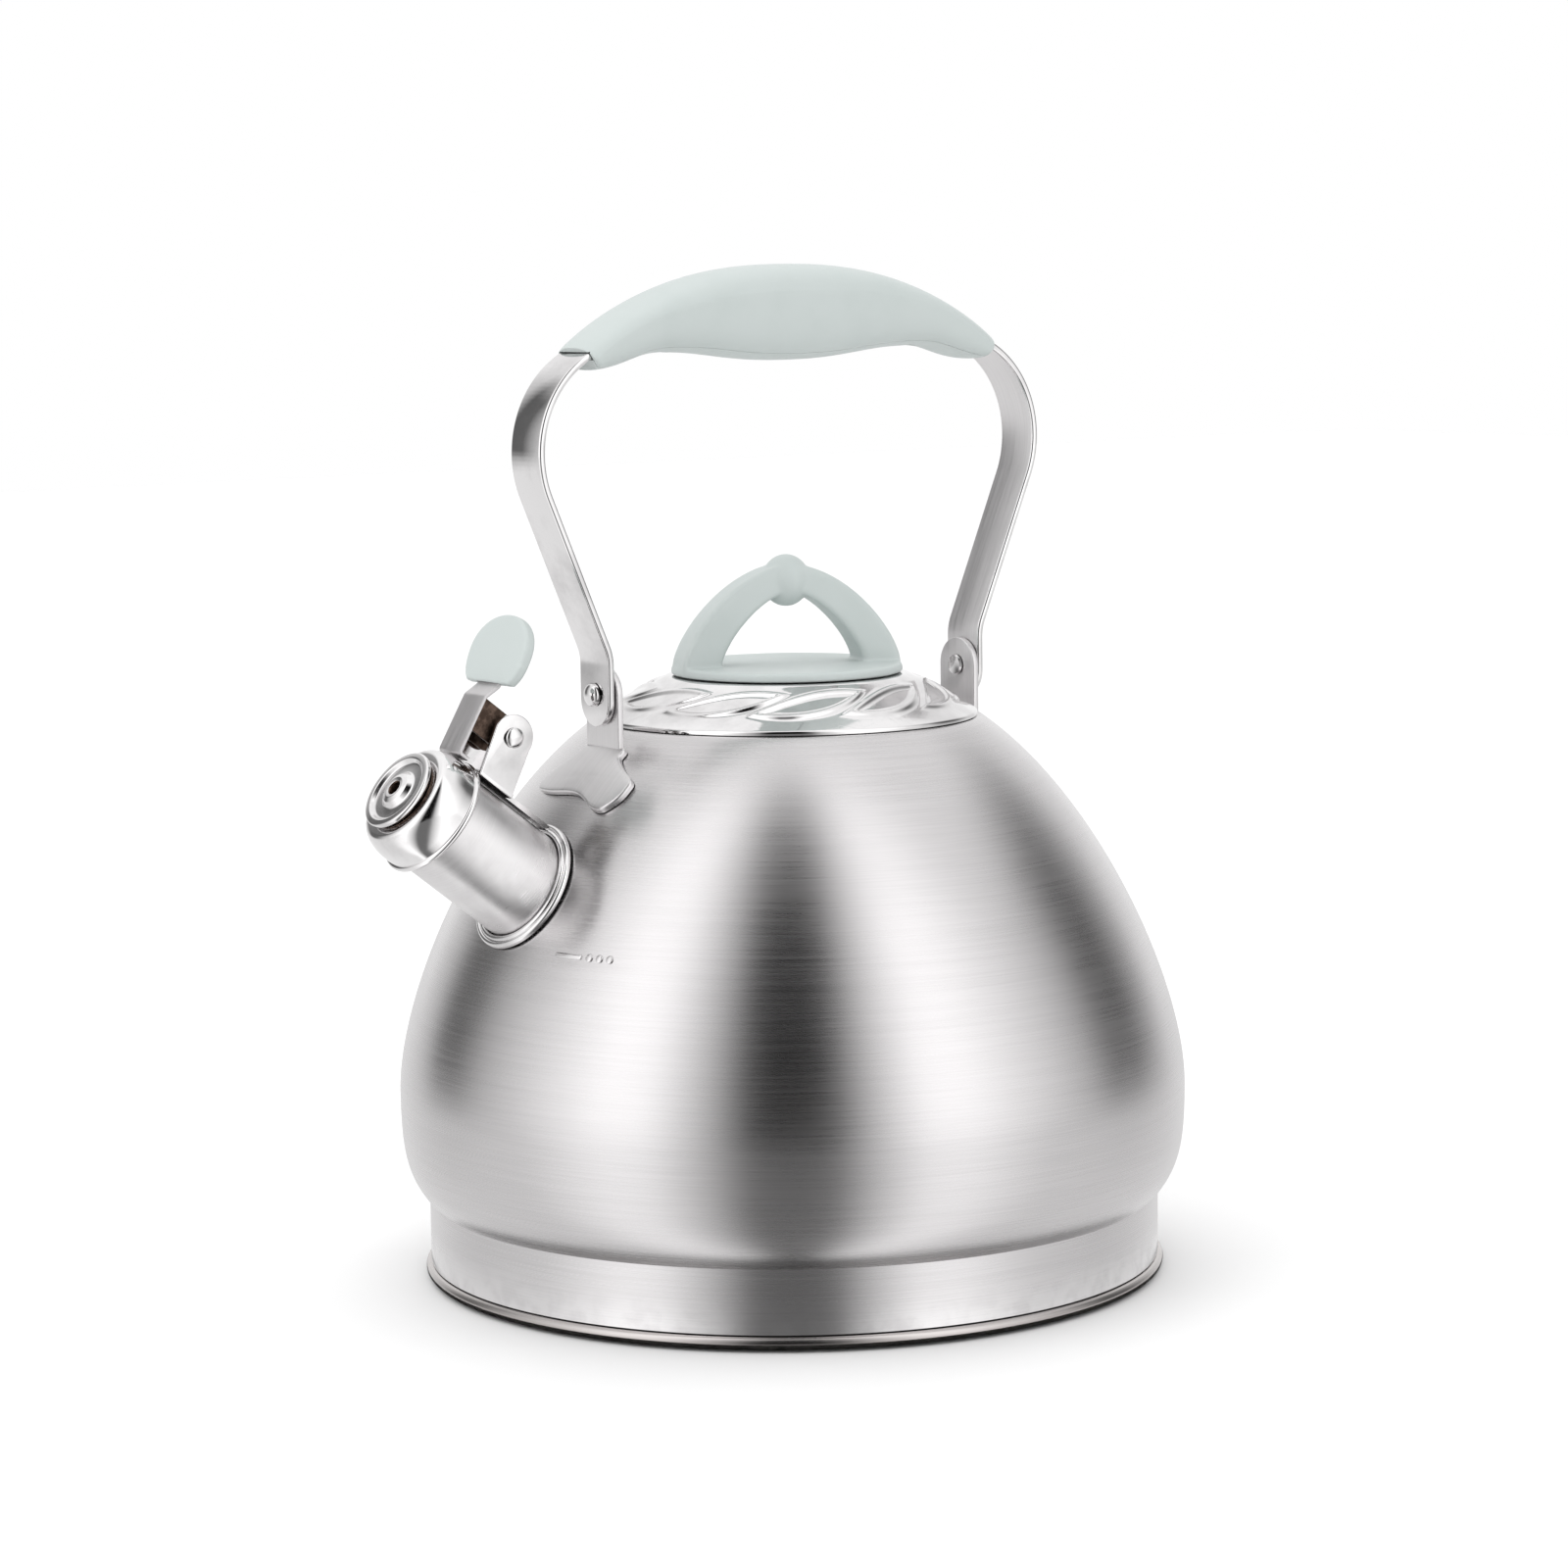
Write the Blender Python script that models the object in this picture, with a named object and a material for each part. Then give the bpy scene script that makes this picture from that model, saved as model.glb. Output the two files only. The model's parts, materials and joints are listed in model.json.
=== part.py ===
"""Stovetop whistling kettle: a domed steel body, a lift-off lid, a drop handle and a lever-opened whistle.

Metres, +Z up. The origin is the centre of the flat base, where it stands on the hob. The spout points
to -X. The handle, the lever and the spout all lie on the plane Y = 0.
"""

from math import atan2, ceil, cos, hypot, pi, radians, sin, tan

import bmesh
import bpy
from mathutils import Vector
from mathutils.geometry import interpolate_bezier

# Fits
GAP = 0.0003
PIVOT_PLAY = 0.0004
CUT_BEYOND = 0.0030
BIG_STEPS = 48
SMALL_STEPS = 16
SPOUT_STEPS = 32
WHISTLE_STEPS = 24

# Body: the foot is a cylinder, then the wall swells to the belly and closes in to the mouth.
BODY_SHEET = 0.0010
FOOT_RADIUS = 0.1020
WAIST_HEIGHT = 0.0220
WAIST_SLOPE = radians(50.5)
WAIST_FULLNESS = 0.0093
BELLY_SWELL = 0.0076
BELLY_RISE = 0.0300
BELLY_FULLNESS_BELOW = 0.60
BELLY_FULLNESS_ABOVE = 0.264
SHOULDER_RISE = 0.1022
SHOULDER_SLOPE = radians(35.2)
SHOULDER_FULLNESS = 0.38
SHOULDER_STEP = 0.0004
SEAT_WIDTH = 0.0052
MOUTH_RADIUS = 0.0490
MOUTH_DEPTH = 0.0078
MOUTH_EDGE_RADIUS = 0.0014

BELLY_RADIUS = FOOT_RADIUS + BELLY_SWELL
BELLY_HEIGHT = WAIST_HEIGHT + BELLY_RISE
SHOULDER_HEIGHT = BELLY_HEIGHT + SHOULDER_RISE
SHOULDER_RADIUS = MOUTH_RADIUS + SEAT_WIDTH
SEAT_HEIGHT = SHOULDER_HEIGHT + SHOULDER_STEP

# Base: a pan closes the body, and a cap holds a heat-spreading disc under it.
BEAD_RADIUS = 0.0018
BEAD_OVERHANG = 0.0014
BEAD_ABOVE_HOB = 0.0007
PAN_SHEET = 0.0010
BASE_RIM_WIDTH = 0.0080
CAP_SHEET = 0.0006
CAP_CORNER_RADIUS = 0.0012
SPREADER_THICKNESS = 0.0036

BODY_BOTTOM = BEAD_ABOVE_HOB + 2 * BEAD_RADIUS + GAP
CAP_RADIUS = FOOT_RADIUS - BASE_RIM_WIDTH

# Lid
LID_SHEET = 0.0008
LID_OVERHANG = 0.0037
LID_RISE = 0.0117
LID_EDGE = 0.0010
LID_CROWN_RADIUS = 0.0335
LID_CROWN_BEND = 0.0040
LID_TURN = radians(-18)
SKIRT_PLAY = 0.0008
SKIRT_DEPTH = 0.0072
KNOB_PLATE_INSET = 0.0013
KNOB_PLATE_THICKNESS = 0.0025
KNOB_PLATE_EDGE = 0.0006
ARCH_INSET = 0.0007
ARCH_LEG_WIDTH = 0.0110
ARCH_HEIGHT = 0.0290
ARCH_TOP_THICKNESS = 0.0090
ARCH_HALF_DEPTH = 0.0068
ARCH_DEPTH_TAPER = 0.06
KNOB_BALL_RADIUS = 0.0062
KNOB_BALL_HALF_HEIGHT = 0.0072
KNOB_BALL_STANDOUT = 0.0012
LID_SCREW_RADIUS = 0.0018
LID_SCREW_LENGTH = 0.0105
LID_SCREW_HEAD_WIDTH = 0.0018
LID_SCREW_HEAD_HEIGHT = 0.0020
WASHER_WIDTH = 0.0030
WASHER_THICKNESS = 0.0008

LID_RADIUS = MOUTH_RADIUS + LID_OVERHANG
LID_BOTTOM = SEAT_HEIGHT + GAP
KNOB_PLATE_RADIUS = LID_CROWN_RADIUS - KNOB_PLATE_INSET
ARCH_HALF_SPAN = KNOB_PLATE_RADIUS - ARCH_INSET
ARCH_HALF_OPENING = ARCH_HALF_SPAN - ARCH_LEG_WIDTH
ARCH_OPENING_HEIGHT = ARCH_HEIGHT - ARCH_TOP_THICKNESS
LID_SCREW_OFFSET = ARCH_HALF_SPAN - ARCH_LEG_WIDTH / 2

# Ears and handle strap
EAR_BEYOND_MOUTH = 0.0056
EAR_SHEET = 0.0018
EAR_WIDTH = 0.0155
EAR_FOOT_SHEET = 0.0016
EAR_FOOT_RUN = 0.0060
PIVOT_ABOVE_SHOULDER = 0.0108
STRAP_SHEET = 0.0020
STRAP_WIDTH = 0.0144
STRAP_TAIL = 0.0086
STRAP_END_ROUNDING = 0.98
STRAP_BEND_ABOVE_PIVOT = 0.0105
STRAP_LEAN = radians(23)
STRAP_BEND_RADIUS = 0.0120
STRAP_CORNER_RADIUS = 0.0320
STRAP_RISE = 0.0980
RIVET_RADIUS = 0.0022
RIVET_HEAD_WIDTH = 0.0010
RIVET_HEAD_HEIGHT = 0.0022
RIVET_TAIL_WIDTH = 0.0007
RIVET_TAIL_HEIGHT = 0.0008

EAR_REACH = SHOULDER_RADIUS + EAR_BEYOND_MOUTH
PIVOT_HEIGHT = SHOULDER_HEIGHT + PIVOT_ABOVE_SHOULDER
STRAP_FACE = EAR_REACH + EAR_SHEET + GAP + STRAP_SHEET

# Grip: a moulded shell over the strap, closed from below by a cover.
GRIP_HALF_LENGTH = 0.0725
GRIP_RISE = 0.0165
GRIP_END_FALL = 0.0192
GRIP_BELLY_DEPTH = 0.0100
GRIP_WAIST_DEPTH = 0.0070
GRIP_WAIST_SHARE = 0.58
GRIP_END_DEPTH = 0.0112
GRIP_WALL = 0.0051
GRIP_END_WALL = 0.0023
GRIP_FULLNESS = 2.4
GRIP_SQUARENESS = 2.8
GRIP_STATIONS = 18
GRIP_SIDES = 16
GRIP_SCREW_OFFSET = 0.0420
GRIP_SCREW_RADIUS = 0.0015
GRIP_SCREW_HEAD_WIDTH = 0.0014
GRIP_SCREW_HEAD_HEIGHT = 0.0016
GRIP_SCREW_HEAD_SINK = 0.0012
GRIP_SCREW_BITE = 0.0062

GRIP_HALF_WIDTH = STRAP_WIDTH / 2 + GRIP_WALL
GRIP_END_HALF_WIDTH = STRAP_WIDTH / 2 + GRIP_END_WALL
GRIP_SCREW_HEAD_RADIUS = GRIP_SCREW_RADIUS + GRIP_SCREW_HEAD_WIDTH

# Spout: a straight tube; distances are measured along it from where its axis meets the body.
SPOUT_BELOW_SHOULDER = 0.0389
SPOUT_RISE = radians(37.6)
SPOUT_RADIUS = 0.0147
SPOUT_SHEET = 0.0008
SPOUT_LENGTH = 0.0365
SPOUT_ROOT_DEPTH = 0.0016
FLANGE_WIDTH = 0.0030
FLANGE_HEIGHT = 0.0022
FLANGE_LIFT = 0.0007

SPOUT_HEIGHT = SHOULDER_HEIGHT - SPOUT_BELOW_SHOULDER

# Hinge bracket on the spout, its pin and its spring
LEVER_SHEET = 0.0010
LEVER_HALF_WIDTH = 0.0052
BRACKET_SHEET = 0.0013
BRACKET_PLAY = 0.0015
BRACKET_BEHIND_PIN = 0.0090
BRACKET_AHEAD_OF_PIN = 0.0030
BRACKET_TAIL_CLEAR = 0.0016
BRACKET_TAIL_HALF_WIDTH = 0.0024
BRACKET_EAR_RADIUS = 0.0062
PIN_BEHIND_MOUTH = 0.0060
PIN_STANDOFF = 0.0137
PIN_RADIUS = 0.0016
PIN_HEAD_WIDTH = 0.0011
PIN_HEAD_HEIGHT = 0.0014
SPRING_WIRE_RADIUS = 0.00045
SPRING_PLAY = 0.00075
SPRING_TURNS = 4
SPRING_SIDE_ROOM = 0.0018

PIN_ALONG = SPOUT_LENGTH - PIN_BEHIND_MOUTH
PIN_ABOVE = SPOUT_RADIUS + PIN_STANDOFF
PIN_HEAD_RADIUS = PIN_RADIUS + PIN_HEAD_WIDTH
BRACKET_HALF_WIDTH = LEVER_HALF_WIDTH + BRACKET_PLAY + BRACKET_SHEET
BRACKET_START = PIN_ALONG - BRACKET_BEHIND_PIN
BRACKET_END = PIN_ALONG + BRACKET_AHEAD_OF_PIN
SPRING_COIL_RADIUS = PIN_RADIUS + SPRING_PLAY + SPRING_WIRE_RADIUS
SPRING_HALF_WIDTH = LEVER_HALF_WIDTH - LEVER_SHEET - SPRING_SIDE_ROOM

# Whistle cap
CAP_OVERLAP = 0.0025
CAP_RIM_WIDTH = 0.0008
CAP_RIM_HEIGHT = 0.0016
WHISTLE_SHEET = 0.0008
WHISTLE_PLAY = 0.0007
WHISTLE_DEPTH = 0.0118
WHISTLE_SHOULDER = 0.0024
WHISTLE_SHOULDER_BEND = 0.0012
WHISTLE_WALL_SHARE = 0.45
WHISTLE_BEND_SHARE = 0.78
FRONT_DISC_INSET = 0.0024
FRONT_DISC_HEIGHT = 0.0032
FRONT_DISC_SEAT = 0.0016
FRONT_RING_HEIGHT = 0.0024
FRONT_RING_WIDTH = 0.0018
FRONT_DISC_HOLLOW_DEPTH = 0.0014
NIPPLE_RADIUS = 0.0042
NIPPLE_EDGE = 0.0010
REAR_DISC_DEPTH = 0.0066
REAR_DISC_DISH = 0.0012
REAR_DISC_SHEET = 0.0005
WHISTLE_HOLE_RADIUS = 0.0019

WALL_RADIUS = SPOUT_RADIUS + WHISTLE_PLAY + WHISTLE_SHEET
CAP_RIM_ALONG = SPOUT_LENGTH - CAP_OVERLAP
CAP_RIM_RADIUS = WALL_RADIUS + CAP_RIM_WIDTH
WHISTLE_FRONT_RADIUS = WALL_RADIUS - WHISTLE_SHOULDER
FRONT_DISC_RADIUS = WHISTLE_FRONT_RADIUS - FRONT_DISC_INSET
WHISTLE_BORE_RADIUS = FRONT_DISC_RADIUS - FRONT_DISC_SEAT

# Lever and thumb pad; the lever stands off the cap and carries the pad at its top.
LEVER_EYE_RADIUS = 0.0046
LEVER_FOOT_LENGTH = 0.0032
LEVER_FACE = 0.0098
LEVER_LEAN = radians(7)
LEVER_KNEE_RISE = 0.0049
LEVER_KNEE_BACK = radians(-22)
LEVER_KNEE_LENGTH = 0.0047
LEVER_FOOT_BEND = 0.0009
LEVER_BEND = 0.0014
LEVER_TAB_LENGTH = 0.0140
PAD_TILT = radians(13.6)
PAD_HEIGHT = 0.0205
PAD_THICKNESS = 0.0046
PAD_EDGE = 0.0011
PAD_FOOT_GAP = 0.0006
PAD_FOOT_HALF_WIDTH = 0.0102
PAD_HALF_WIDTH = 0.0146
PAD_WIDEST = 0.0085

STEEL = (0.60, 0.59, 0.58)
POLISHED_STEEL = (0.72, 0.71, 0.71)
ALUMINIUM = (0.55, 0.55, 0.56)
SPRING_STEEL = (0.16, 0.12, 0.09)
SAGE_PLASTIC = (0.50, 0.59, 0.55)
SCREW_STEEL = (0.40, 0.40, 0.41)


# --- Outlines ---------------------------------------------------------------------------------------

def arc(centre, radius, start, end, count):
    """Points on a circle about centre, from the angle start to the angle end."""
    angles = [start + (end - start) * i / count for i in range(count + 1)]
    return [(centre[0] + radius * cos(a), centre[1] + radius * sin(a)) for a in angles]


def curve(start, start_handle, end_handle, end, count):
    """Points along a cubic Bezier curve."""
    ends = [Vector((x, y, 0.0)) for x, y in (start, start_handle, end_handle, end)]
    return [(p.x, p.y) for p in interpolate_bezier(*ends, count + 1)]


def rounded_path(corners, radii, step=radians(12)):
    """An open path with an arc of the given radius at each inner corner."""
    path = [corners[0]]
    for i, radius in enumerate(radii, start=1):
        corner = Vector(corners[i])
        back = (Vector(corners[i - 1]) - corner).normalized()
        ahead = (Vector(corners[i + 1]) - corner).normalized()
        half = back.angle(ahead) / 2
        if radius == 0:
            path.append(tuple(corner))
            continue
        centre = corner + (back + ahead).normalized() * (radius / sin(half))
        first = corner + back * (radius / tan(half)) - centre
        last = corner + ahead * (radius / tan(half)) - centre
        sweep = first.angle_signed(last)
        count = max(2, ceil(abs(sweep) / step))
        start = atan2(first.y, first.x)
        path += arc(centre, radius, start, start - sweep, count)
    path.append(corners[-1])
    return path


def offset_path(path, distance):
    """The path moved to the left of its direction of travel."""
    normals = []
    for (x0, y0), (x1, y1) in zip(path, path[1:]):
        length = hypot(x1 - x0, y1 - y0)
        normals.append(Vector(((y0 - y1) / length, (x1 - x0) / length)))
    moved = []
    for i, point in enumerate(path):
        before = normals[max(i - 1, 0)]
        after = normals[min(i, len(normals) - 1)]
        middle = before + after
        moved.append(tuple(Vector(point) + middle * (2 * distance / middle.length_squared)))
    return moved


def sheet_section(path, thickness):
    """The closed section of a sheet whose outer face is the path and which thickens to its left."""
    return path + offset_path(path, thickness)[::-1]


def height_on_path(path, radius):
    """The height of a path of (radius, height) points at a radius."""
    for (r0, z0), (r1, z1) in zip(path, path[1:]):
        if min(r0, r1) <= radius <= max(r0, r1) and r0 != r1:
            return z0 + (z1 - z0) * (radius - r0) / (r1 - r0)
    return path[-1][1]


def radius_on_path(path, height):
    """The radius of a path of (radius, height) points at a height."""
    for (r0, z0), (r1, z1) in zip(path, path[1:]):
        if z0 <= height <= z1 and z0 != z1:
            return r0 + (r1 - r0) * (height - z0) / (z1 - z0)
    return path[0][0] if height < path[0][1] else 0.0


# --- Meshes and objects -----------------------------------------------------------------------------

def clear_scene():
    for thing in list(bpy.data.objects):
        bpy.data.objects.remove(thing, do_unlink=True)


def coloured(name, colour, roughness, metallic):
    material = bpy.data.materials.new(name)
    material.use_nodes = True
    shader = material.node_tree.nodes["Principled BSDF"]
    shader.inputs["Base Color"].default_value = (*colour, 1.0)
    shader.inputs["Roughness"].default_value = roughness
    shader.inputs["Metallic"].default_value = metallic
    return material


def steel(name):
    return coloured(name, STEEL, 0.32, 1.0)


def polished(name):
    return coloured(name, POLISHED_STEEL, 0.10, 1.0)


def plastic(name):
    return coloured(name, SAGE_PLASTIC, 0.45, 0.0)


def screw_steel(name):
    return coloured(name, SCREW_STEEL, 0.35, 1.0)


def placed(name, bm, material=None, parent=None):
    """Turns the mesh into an object, shaded smooth with its hard edges kept."""
    bmesh.ops.remove_doubles(bm, verts=bm.verts, dist=1e-6)
    bmesh.ops.recalc_face_normals(bm, faces=bm.faces)
    mesh = bpy.data.meshes.new(name)
    bm.to_mesh(mesh)
    bm.free()
    mesh.shade_smooth()
    mesh.set_sharp_from_angle(angle=radians(35))
    obj = bpy.data.objects.new(name, mesh)
    bpy.context.scene.collection.objects.link(obj)
    obj.parent = parent
    if material:
        mesh.materials.append(material)
    else:
        obj.hide_render = True
        obj.display_type = "WIRE"
    return obj


def frame(name, location, tilt=0.0, turn=0.0, parent=None):
    """An empty that carries a group of pieces. The tilt is about its Y axis, the turn about its Z axis."""
    empty = bpy.data.objects.new(name, None)
    empty.location = location
    empty.rotation_euler = (0.0, tilt, turn)
    empty.parent = parent
    bpy.context.scene.collection.objects.link(empty)
    return empty


def turned(section, steps):
    """A closed section of (radius, height) points turned about Z."""
    bm = bmesh.new()
    loop = [bm.verts.new((radius, 0.0, height)) for radius, height in section]
    edges = []
    for first, second in zip(loop, loop[1:] + loop[:1]):
        if first.co.x > 0 or second.co.x > 0:
            edges.append(bm.edges.new((first, second)))
    bmesh.ops.spin(
        bm, geom=loop + edges, cent=(0, 0, 0), axis=(0, 0, 1), angle=2 * pi, steps=steps, use_merge=True
    )
    return bm


def extruded(outline, near, far, to_point):
    """An outline extruded from near to far; to_point(u, v, w) gives the place of a point at depth w."""
    bm = bmesh.new()
    face = bm.faces.new([bm.verts.new(to_point(u, v, near)) for u, v in outline])
    moved = bmesh.ops.extrude_face_region(bm, geom=[face])["geom"]
    shift = Vector(to_point(0.0, 0.0, far)) - Vector(to_point(0.0, 0.0, near))
    bmesh.ops.translate(bm, vec=shift, verts=[g for g in moved if isinstance(g, bmesh.types.BMVert)])
    return bm


def across(outline, half_width, centre=0.0):
    """An outline in the local XZ plane, extruded along Y to both sides of centre."""
    return extruded(outline, centre - half_width, centre + half_width, lambda x, z, y: (x, y, z))


def box(low, high):
    outline = [(low[0], low[2]), (high[0], low[2]), (high[0], high[2]), (low[0], high[2])]
    return across(outline, (high[1] - low[1]) / 2, (high[1] + low[1]) / 2)


def lofted(rings):
    """A solid through rings of equally many points, closed at both ends."""
    bm = bmesh.new()
    rows = [[bm.verts.new(point) for point in ring] for ring in rings]
    for lower, upper in zip(rows, rows[1:]):
        for i in range(len(lower)):
            bm.faces.new((lower[i - 1], lower[i], upper[i], upper[i - 1]))
    bm.faces.new(rows[0])
    bm.faces.new(rows[-1][::-1])
    return bm


def looped(rings):
    """A ring-shaped solid through closed rings of equally many points, the last joined to the first."""
    bm = bmesh.new()
    rows = [[bm.verts.new(point) for point in ring] for ring in rings]
    for lower, upper in zip(rows, rows[1:] + rows[:1]):
        for i in range(len(lower)):
            bm.faces.new((lower[i - 1], lower[i], upper[i], upper[i - 1]))
    return bm


def runs_level(edge, axis):
    """Whether both of the edge's ends have the same coordinate on this axis."""
    return abs(edge.verts[0].co[axis] - edge.verts[1].co[axis]) < 1e-6


def lies_at(edge, axis, place):
    return all(abs(vertex.co[axis] - place) < 1e-6 for vertex in edge.verts)


def modify(obj, operation, other):
    modifier = obj.modifiers.new(f"{operation.lower()}_{other.name}", "BOOLEAN")
    modifier.operation = operation
    modifier.object = other


def join(obj, *others):
    for other in others:
        modify(obj, "UNION", other)


def cut(obj, *others):
    for other in others:
        modify(obj, "DIFFERENCE", other)


def rod(name, radius, low, high, parent=None, steps=SMALL_STEPS):
    """A hidden cylinder along local Z, for drilling."""
    section = [(0.0, low), (radius, low), (radius, high), (0.0, high)]
    return placed(name, turned(section, steps), parent=parent)


def headed(name, shank_radius, shank, head_radius, head_height, material, parent, tail=None):
    """A rivet or a screw along local Z: shank from 0 to its length, a domed head below 0, maybe a tail."""
    section = [(0.0, -head_height)]
    section += [(head_radius * sin(a), -head_height * cos(a)) for a in (pi / 6, pi / 3)]
    section += [(head_radius, -head_height * 0.25), (head_radius, 0.0), (shank_radius, 0.0)]
    if tail:
        tail_radius, tail_height = tail
        section += [(shank_radius, shank), (tail_radius, shank), (tail_radius, shank + tail_height)]
        section += [(0.0, shank + tail_height)]
    else:
        section += [(shank_radius, shank), (0.0, shank)]
    return placed(name, turned(section, SMALL_STEPS), material, parent)


# --- Body and base ----------------------------------------------------------------------------------

def dome_path():
    """The wall's outer face, from its lower edge up to the shoulder at the mouth."""
    belly = (BELLY_RADIUS, BELLY_HEIGHT)
    swell = WAIST_FULLNESS
    lower = curve(
        (FOOT_RADIUS, WAIST_HEIGHT),
        (FOOT_RADIUS + swell * cos(WAIST_SLOPE), WAIST_HEIGHT + swell * sin(WAIST_SLOPE)),
        (BELLY_RADIUS, BELLY_HEIGHT - BELLY_FULLNESS_BELOW * BELLY_RISE),
        belly,
        5,
    )
    fall = SHOULDER_FULLNESS * SHOULDER_RISE
    upper = curve(
        belly,
        (BELLY_RADIUS, BELLY_HEIGHT + BELLY_FULLNESS_ABOVE * SHOULDER_RISE),
        (SHOULDER_RADIUS + fall * cos(SHOULDER_SLOPE), SHOULDER_HEIGHT - fall * sin(SHOULDER_SLOPE)),
        (SHOULDER_RADIUS, SHOULDER_HEIGHT),
        10,
    )
    return [(FOOT_RADIUS, BODY_BOTTOM)] + lower + upper[1:]


DOME = dome_path()


def make_body_shell(spout_frame):
    neck = [
        (SHOULDER_RADIUS - 2 * SHOULDER_STEP, SEAT_HEIGHT),
        (MOUTH_RADIUS, SEAT_HEIGHT),
        (MOUTH_RADIUS, SEAT_HEIGHT - MOUTH_DEPTH),
    ]
    path = DOME + rounded_path(neck, [MOUTH_EDGE_RADIUS], radians(45))
    shell = placed("body_shell", turned(sheet_section(path, BODY_SHEET), BIG_STEPS), steel("body_steel"))
    reach = 3 * SPOUT_ROOT_DEPTH + SPOUT_RADIUS
    cut(shell, rod("spout_hole", SPOUT_RADIUS + GAP, -reach, reach, spout_frame, SPOUT_STEPS))
    return shell


def make_base():
    bead_radius = FOOT_RADIUS + BEAD_OVERHANG - BEAD_RADIUS
    bead_height = BODY_BOTTOM - GAP - BEAD_RADIUS
    bead_bottom = bead_height - BEAD_RADIUS
    recess = CAP_RADIUS + GAP
    ceiling = CAP_SHEET + SPREADER_THICKNESS + 2 * GAP
    floor = ceiling + PAN_SHEET
    wall = FOOT_RADIUS - BODY_SHEET - GAP
    pan = [(0.0, ceiling), (recess, ceiling), (recess, bead_bottom)]
    pan += arc((bead_radius, bead_height), BEAD_RADIUS, -pi / 2, pi / 2, 4)
    pan += [(wall, bead_height + BEAD_RADIUS), (wall - PAN_SHEET, floor), (0.0, floor)]
    placed("base_pan", turned(pan, BIG_STEPS), polished("base_pan_steel"))

    spreader_radius = CAP_RADIUS - CAP_SHEET - GAP
    low, high = CAP_SHEET + GAP, CAP_SHEET + GAP + SPREADER_THICKNESS
    spreader = [(0.0, low), (spreader_radius, low), (spreader_radius, high), (0.0, high)]
    aluminium = coloured("spreader_aluminium", ALUMINIUM, 0.5, 1.0)
    placed("heat_spreader", turned(spreader, BIG_STEPS), aluminium)

    cap = rounded_path([(0.0, 0.0), (CAP_RADIUS, 0.0), (CAP_RADIUS, high)], [CAP_CORNER_RADIUS], radians(45))
    placed("base_cap", turned(sheet_section(cap, CAP_SHEET), BIG_STEPS), steel("base_cap_steel"))


# --- Lid --------------------------------------------------------------------------------------------

def lid_path():
    """The lid's outer face, from its rim up to its flat middle."""
    corners = [(LID_RADIUS, 0.0), (LID_RADIUS, LID_EDGE), (LID_CROWN_RADIUS, LID_RISE), (0.0, LID_RISE)]
    return rounded_path(corners, [LID_EDGE, LID_CROWN_BEND], radians(30))


def lid_screw_places():
    return (("front", -LID_SCREW_OFFSET), ("rear", LID_SCREW_OFFSET))


def make_lid_shell(lid):
    dish = turned(sheet_section(lid_path(), LID_SHEET), BIG_STEPS)
    shell = placed("lid_shell", dish, polished("lid_steel"), lid)
    for side, x in lid_screw_places():
        hole = rod(f"lid_hole_{side}", LID_SCREW_RADIUS + GAP, 0.0, 2 * LID_RISE, lid)
        hole.location.x = x
        cut(shell, hole)


def make_lid_skirt(lid):
    underside = offset_path(lid_path(), LID_SHEET + GAP)
    outer = MOUTH_RADIUS - SKIRT_PLAY
    inner = outer - LID_SHEET
    section = [(outer, -SKIRT_DEPTH), (outer, height_on_path(underside, outer))]
    section += [(inner, height_on_path(underside, inner)), (inner, -SKIRT_DEPTH)]
    placed("lid_skirt", turned(section, BIG_STEPS), steel("lid_skirt_steel"), lid)


def arch_outline():
    """The knob's arch, legs down, standing on the knob's plate at height 0."""
    outer = curve(
        (ARCH_HALF_SPAN, 0.0),
        (0.97 * ARCH_HALF_SPAN, 0.31 * ARCH_HEIGHT),
        (0.54 * ARCH_HALF_SPAN, 0.84 * ARCH_HEIGHT),
        (0.0, ARCH_HEIGHT),
        8,
    )
    inner = curve(
        (ARCH_HALF_OPENING, 0.0),
        (0.98 * ARCH_HALF_OPENING, 0.28 * ARCH_OPENING_HEIGHT),
        (0.46 * ARCH_HALF_OPENING, 0.95 * ARCH_OPENING_HEIGHT),
        (0.0, ARCH_OPENING_HEIGHT),
        7,
    )
    foot = KNOB_PLATE_THICKNESS / 2
    right = [(ARCH_HALF_SPAN, -foot)] + outer
    left = [(-x, z) for x, z in right[-2::-1]]
    inside_left = [(-ARCH_HALF_OPENING, -foot)] + [(-x, z) for x, z in inner]
    inside_right = inner[-2::-1] + [(ARCH_HALF_OPENING, -foot)]
    return right + left + inside_left + inside_right


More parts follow.
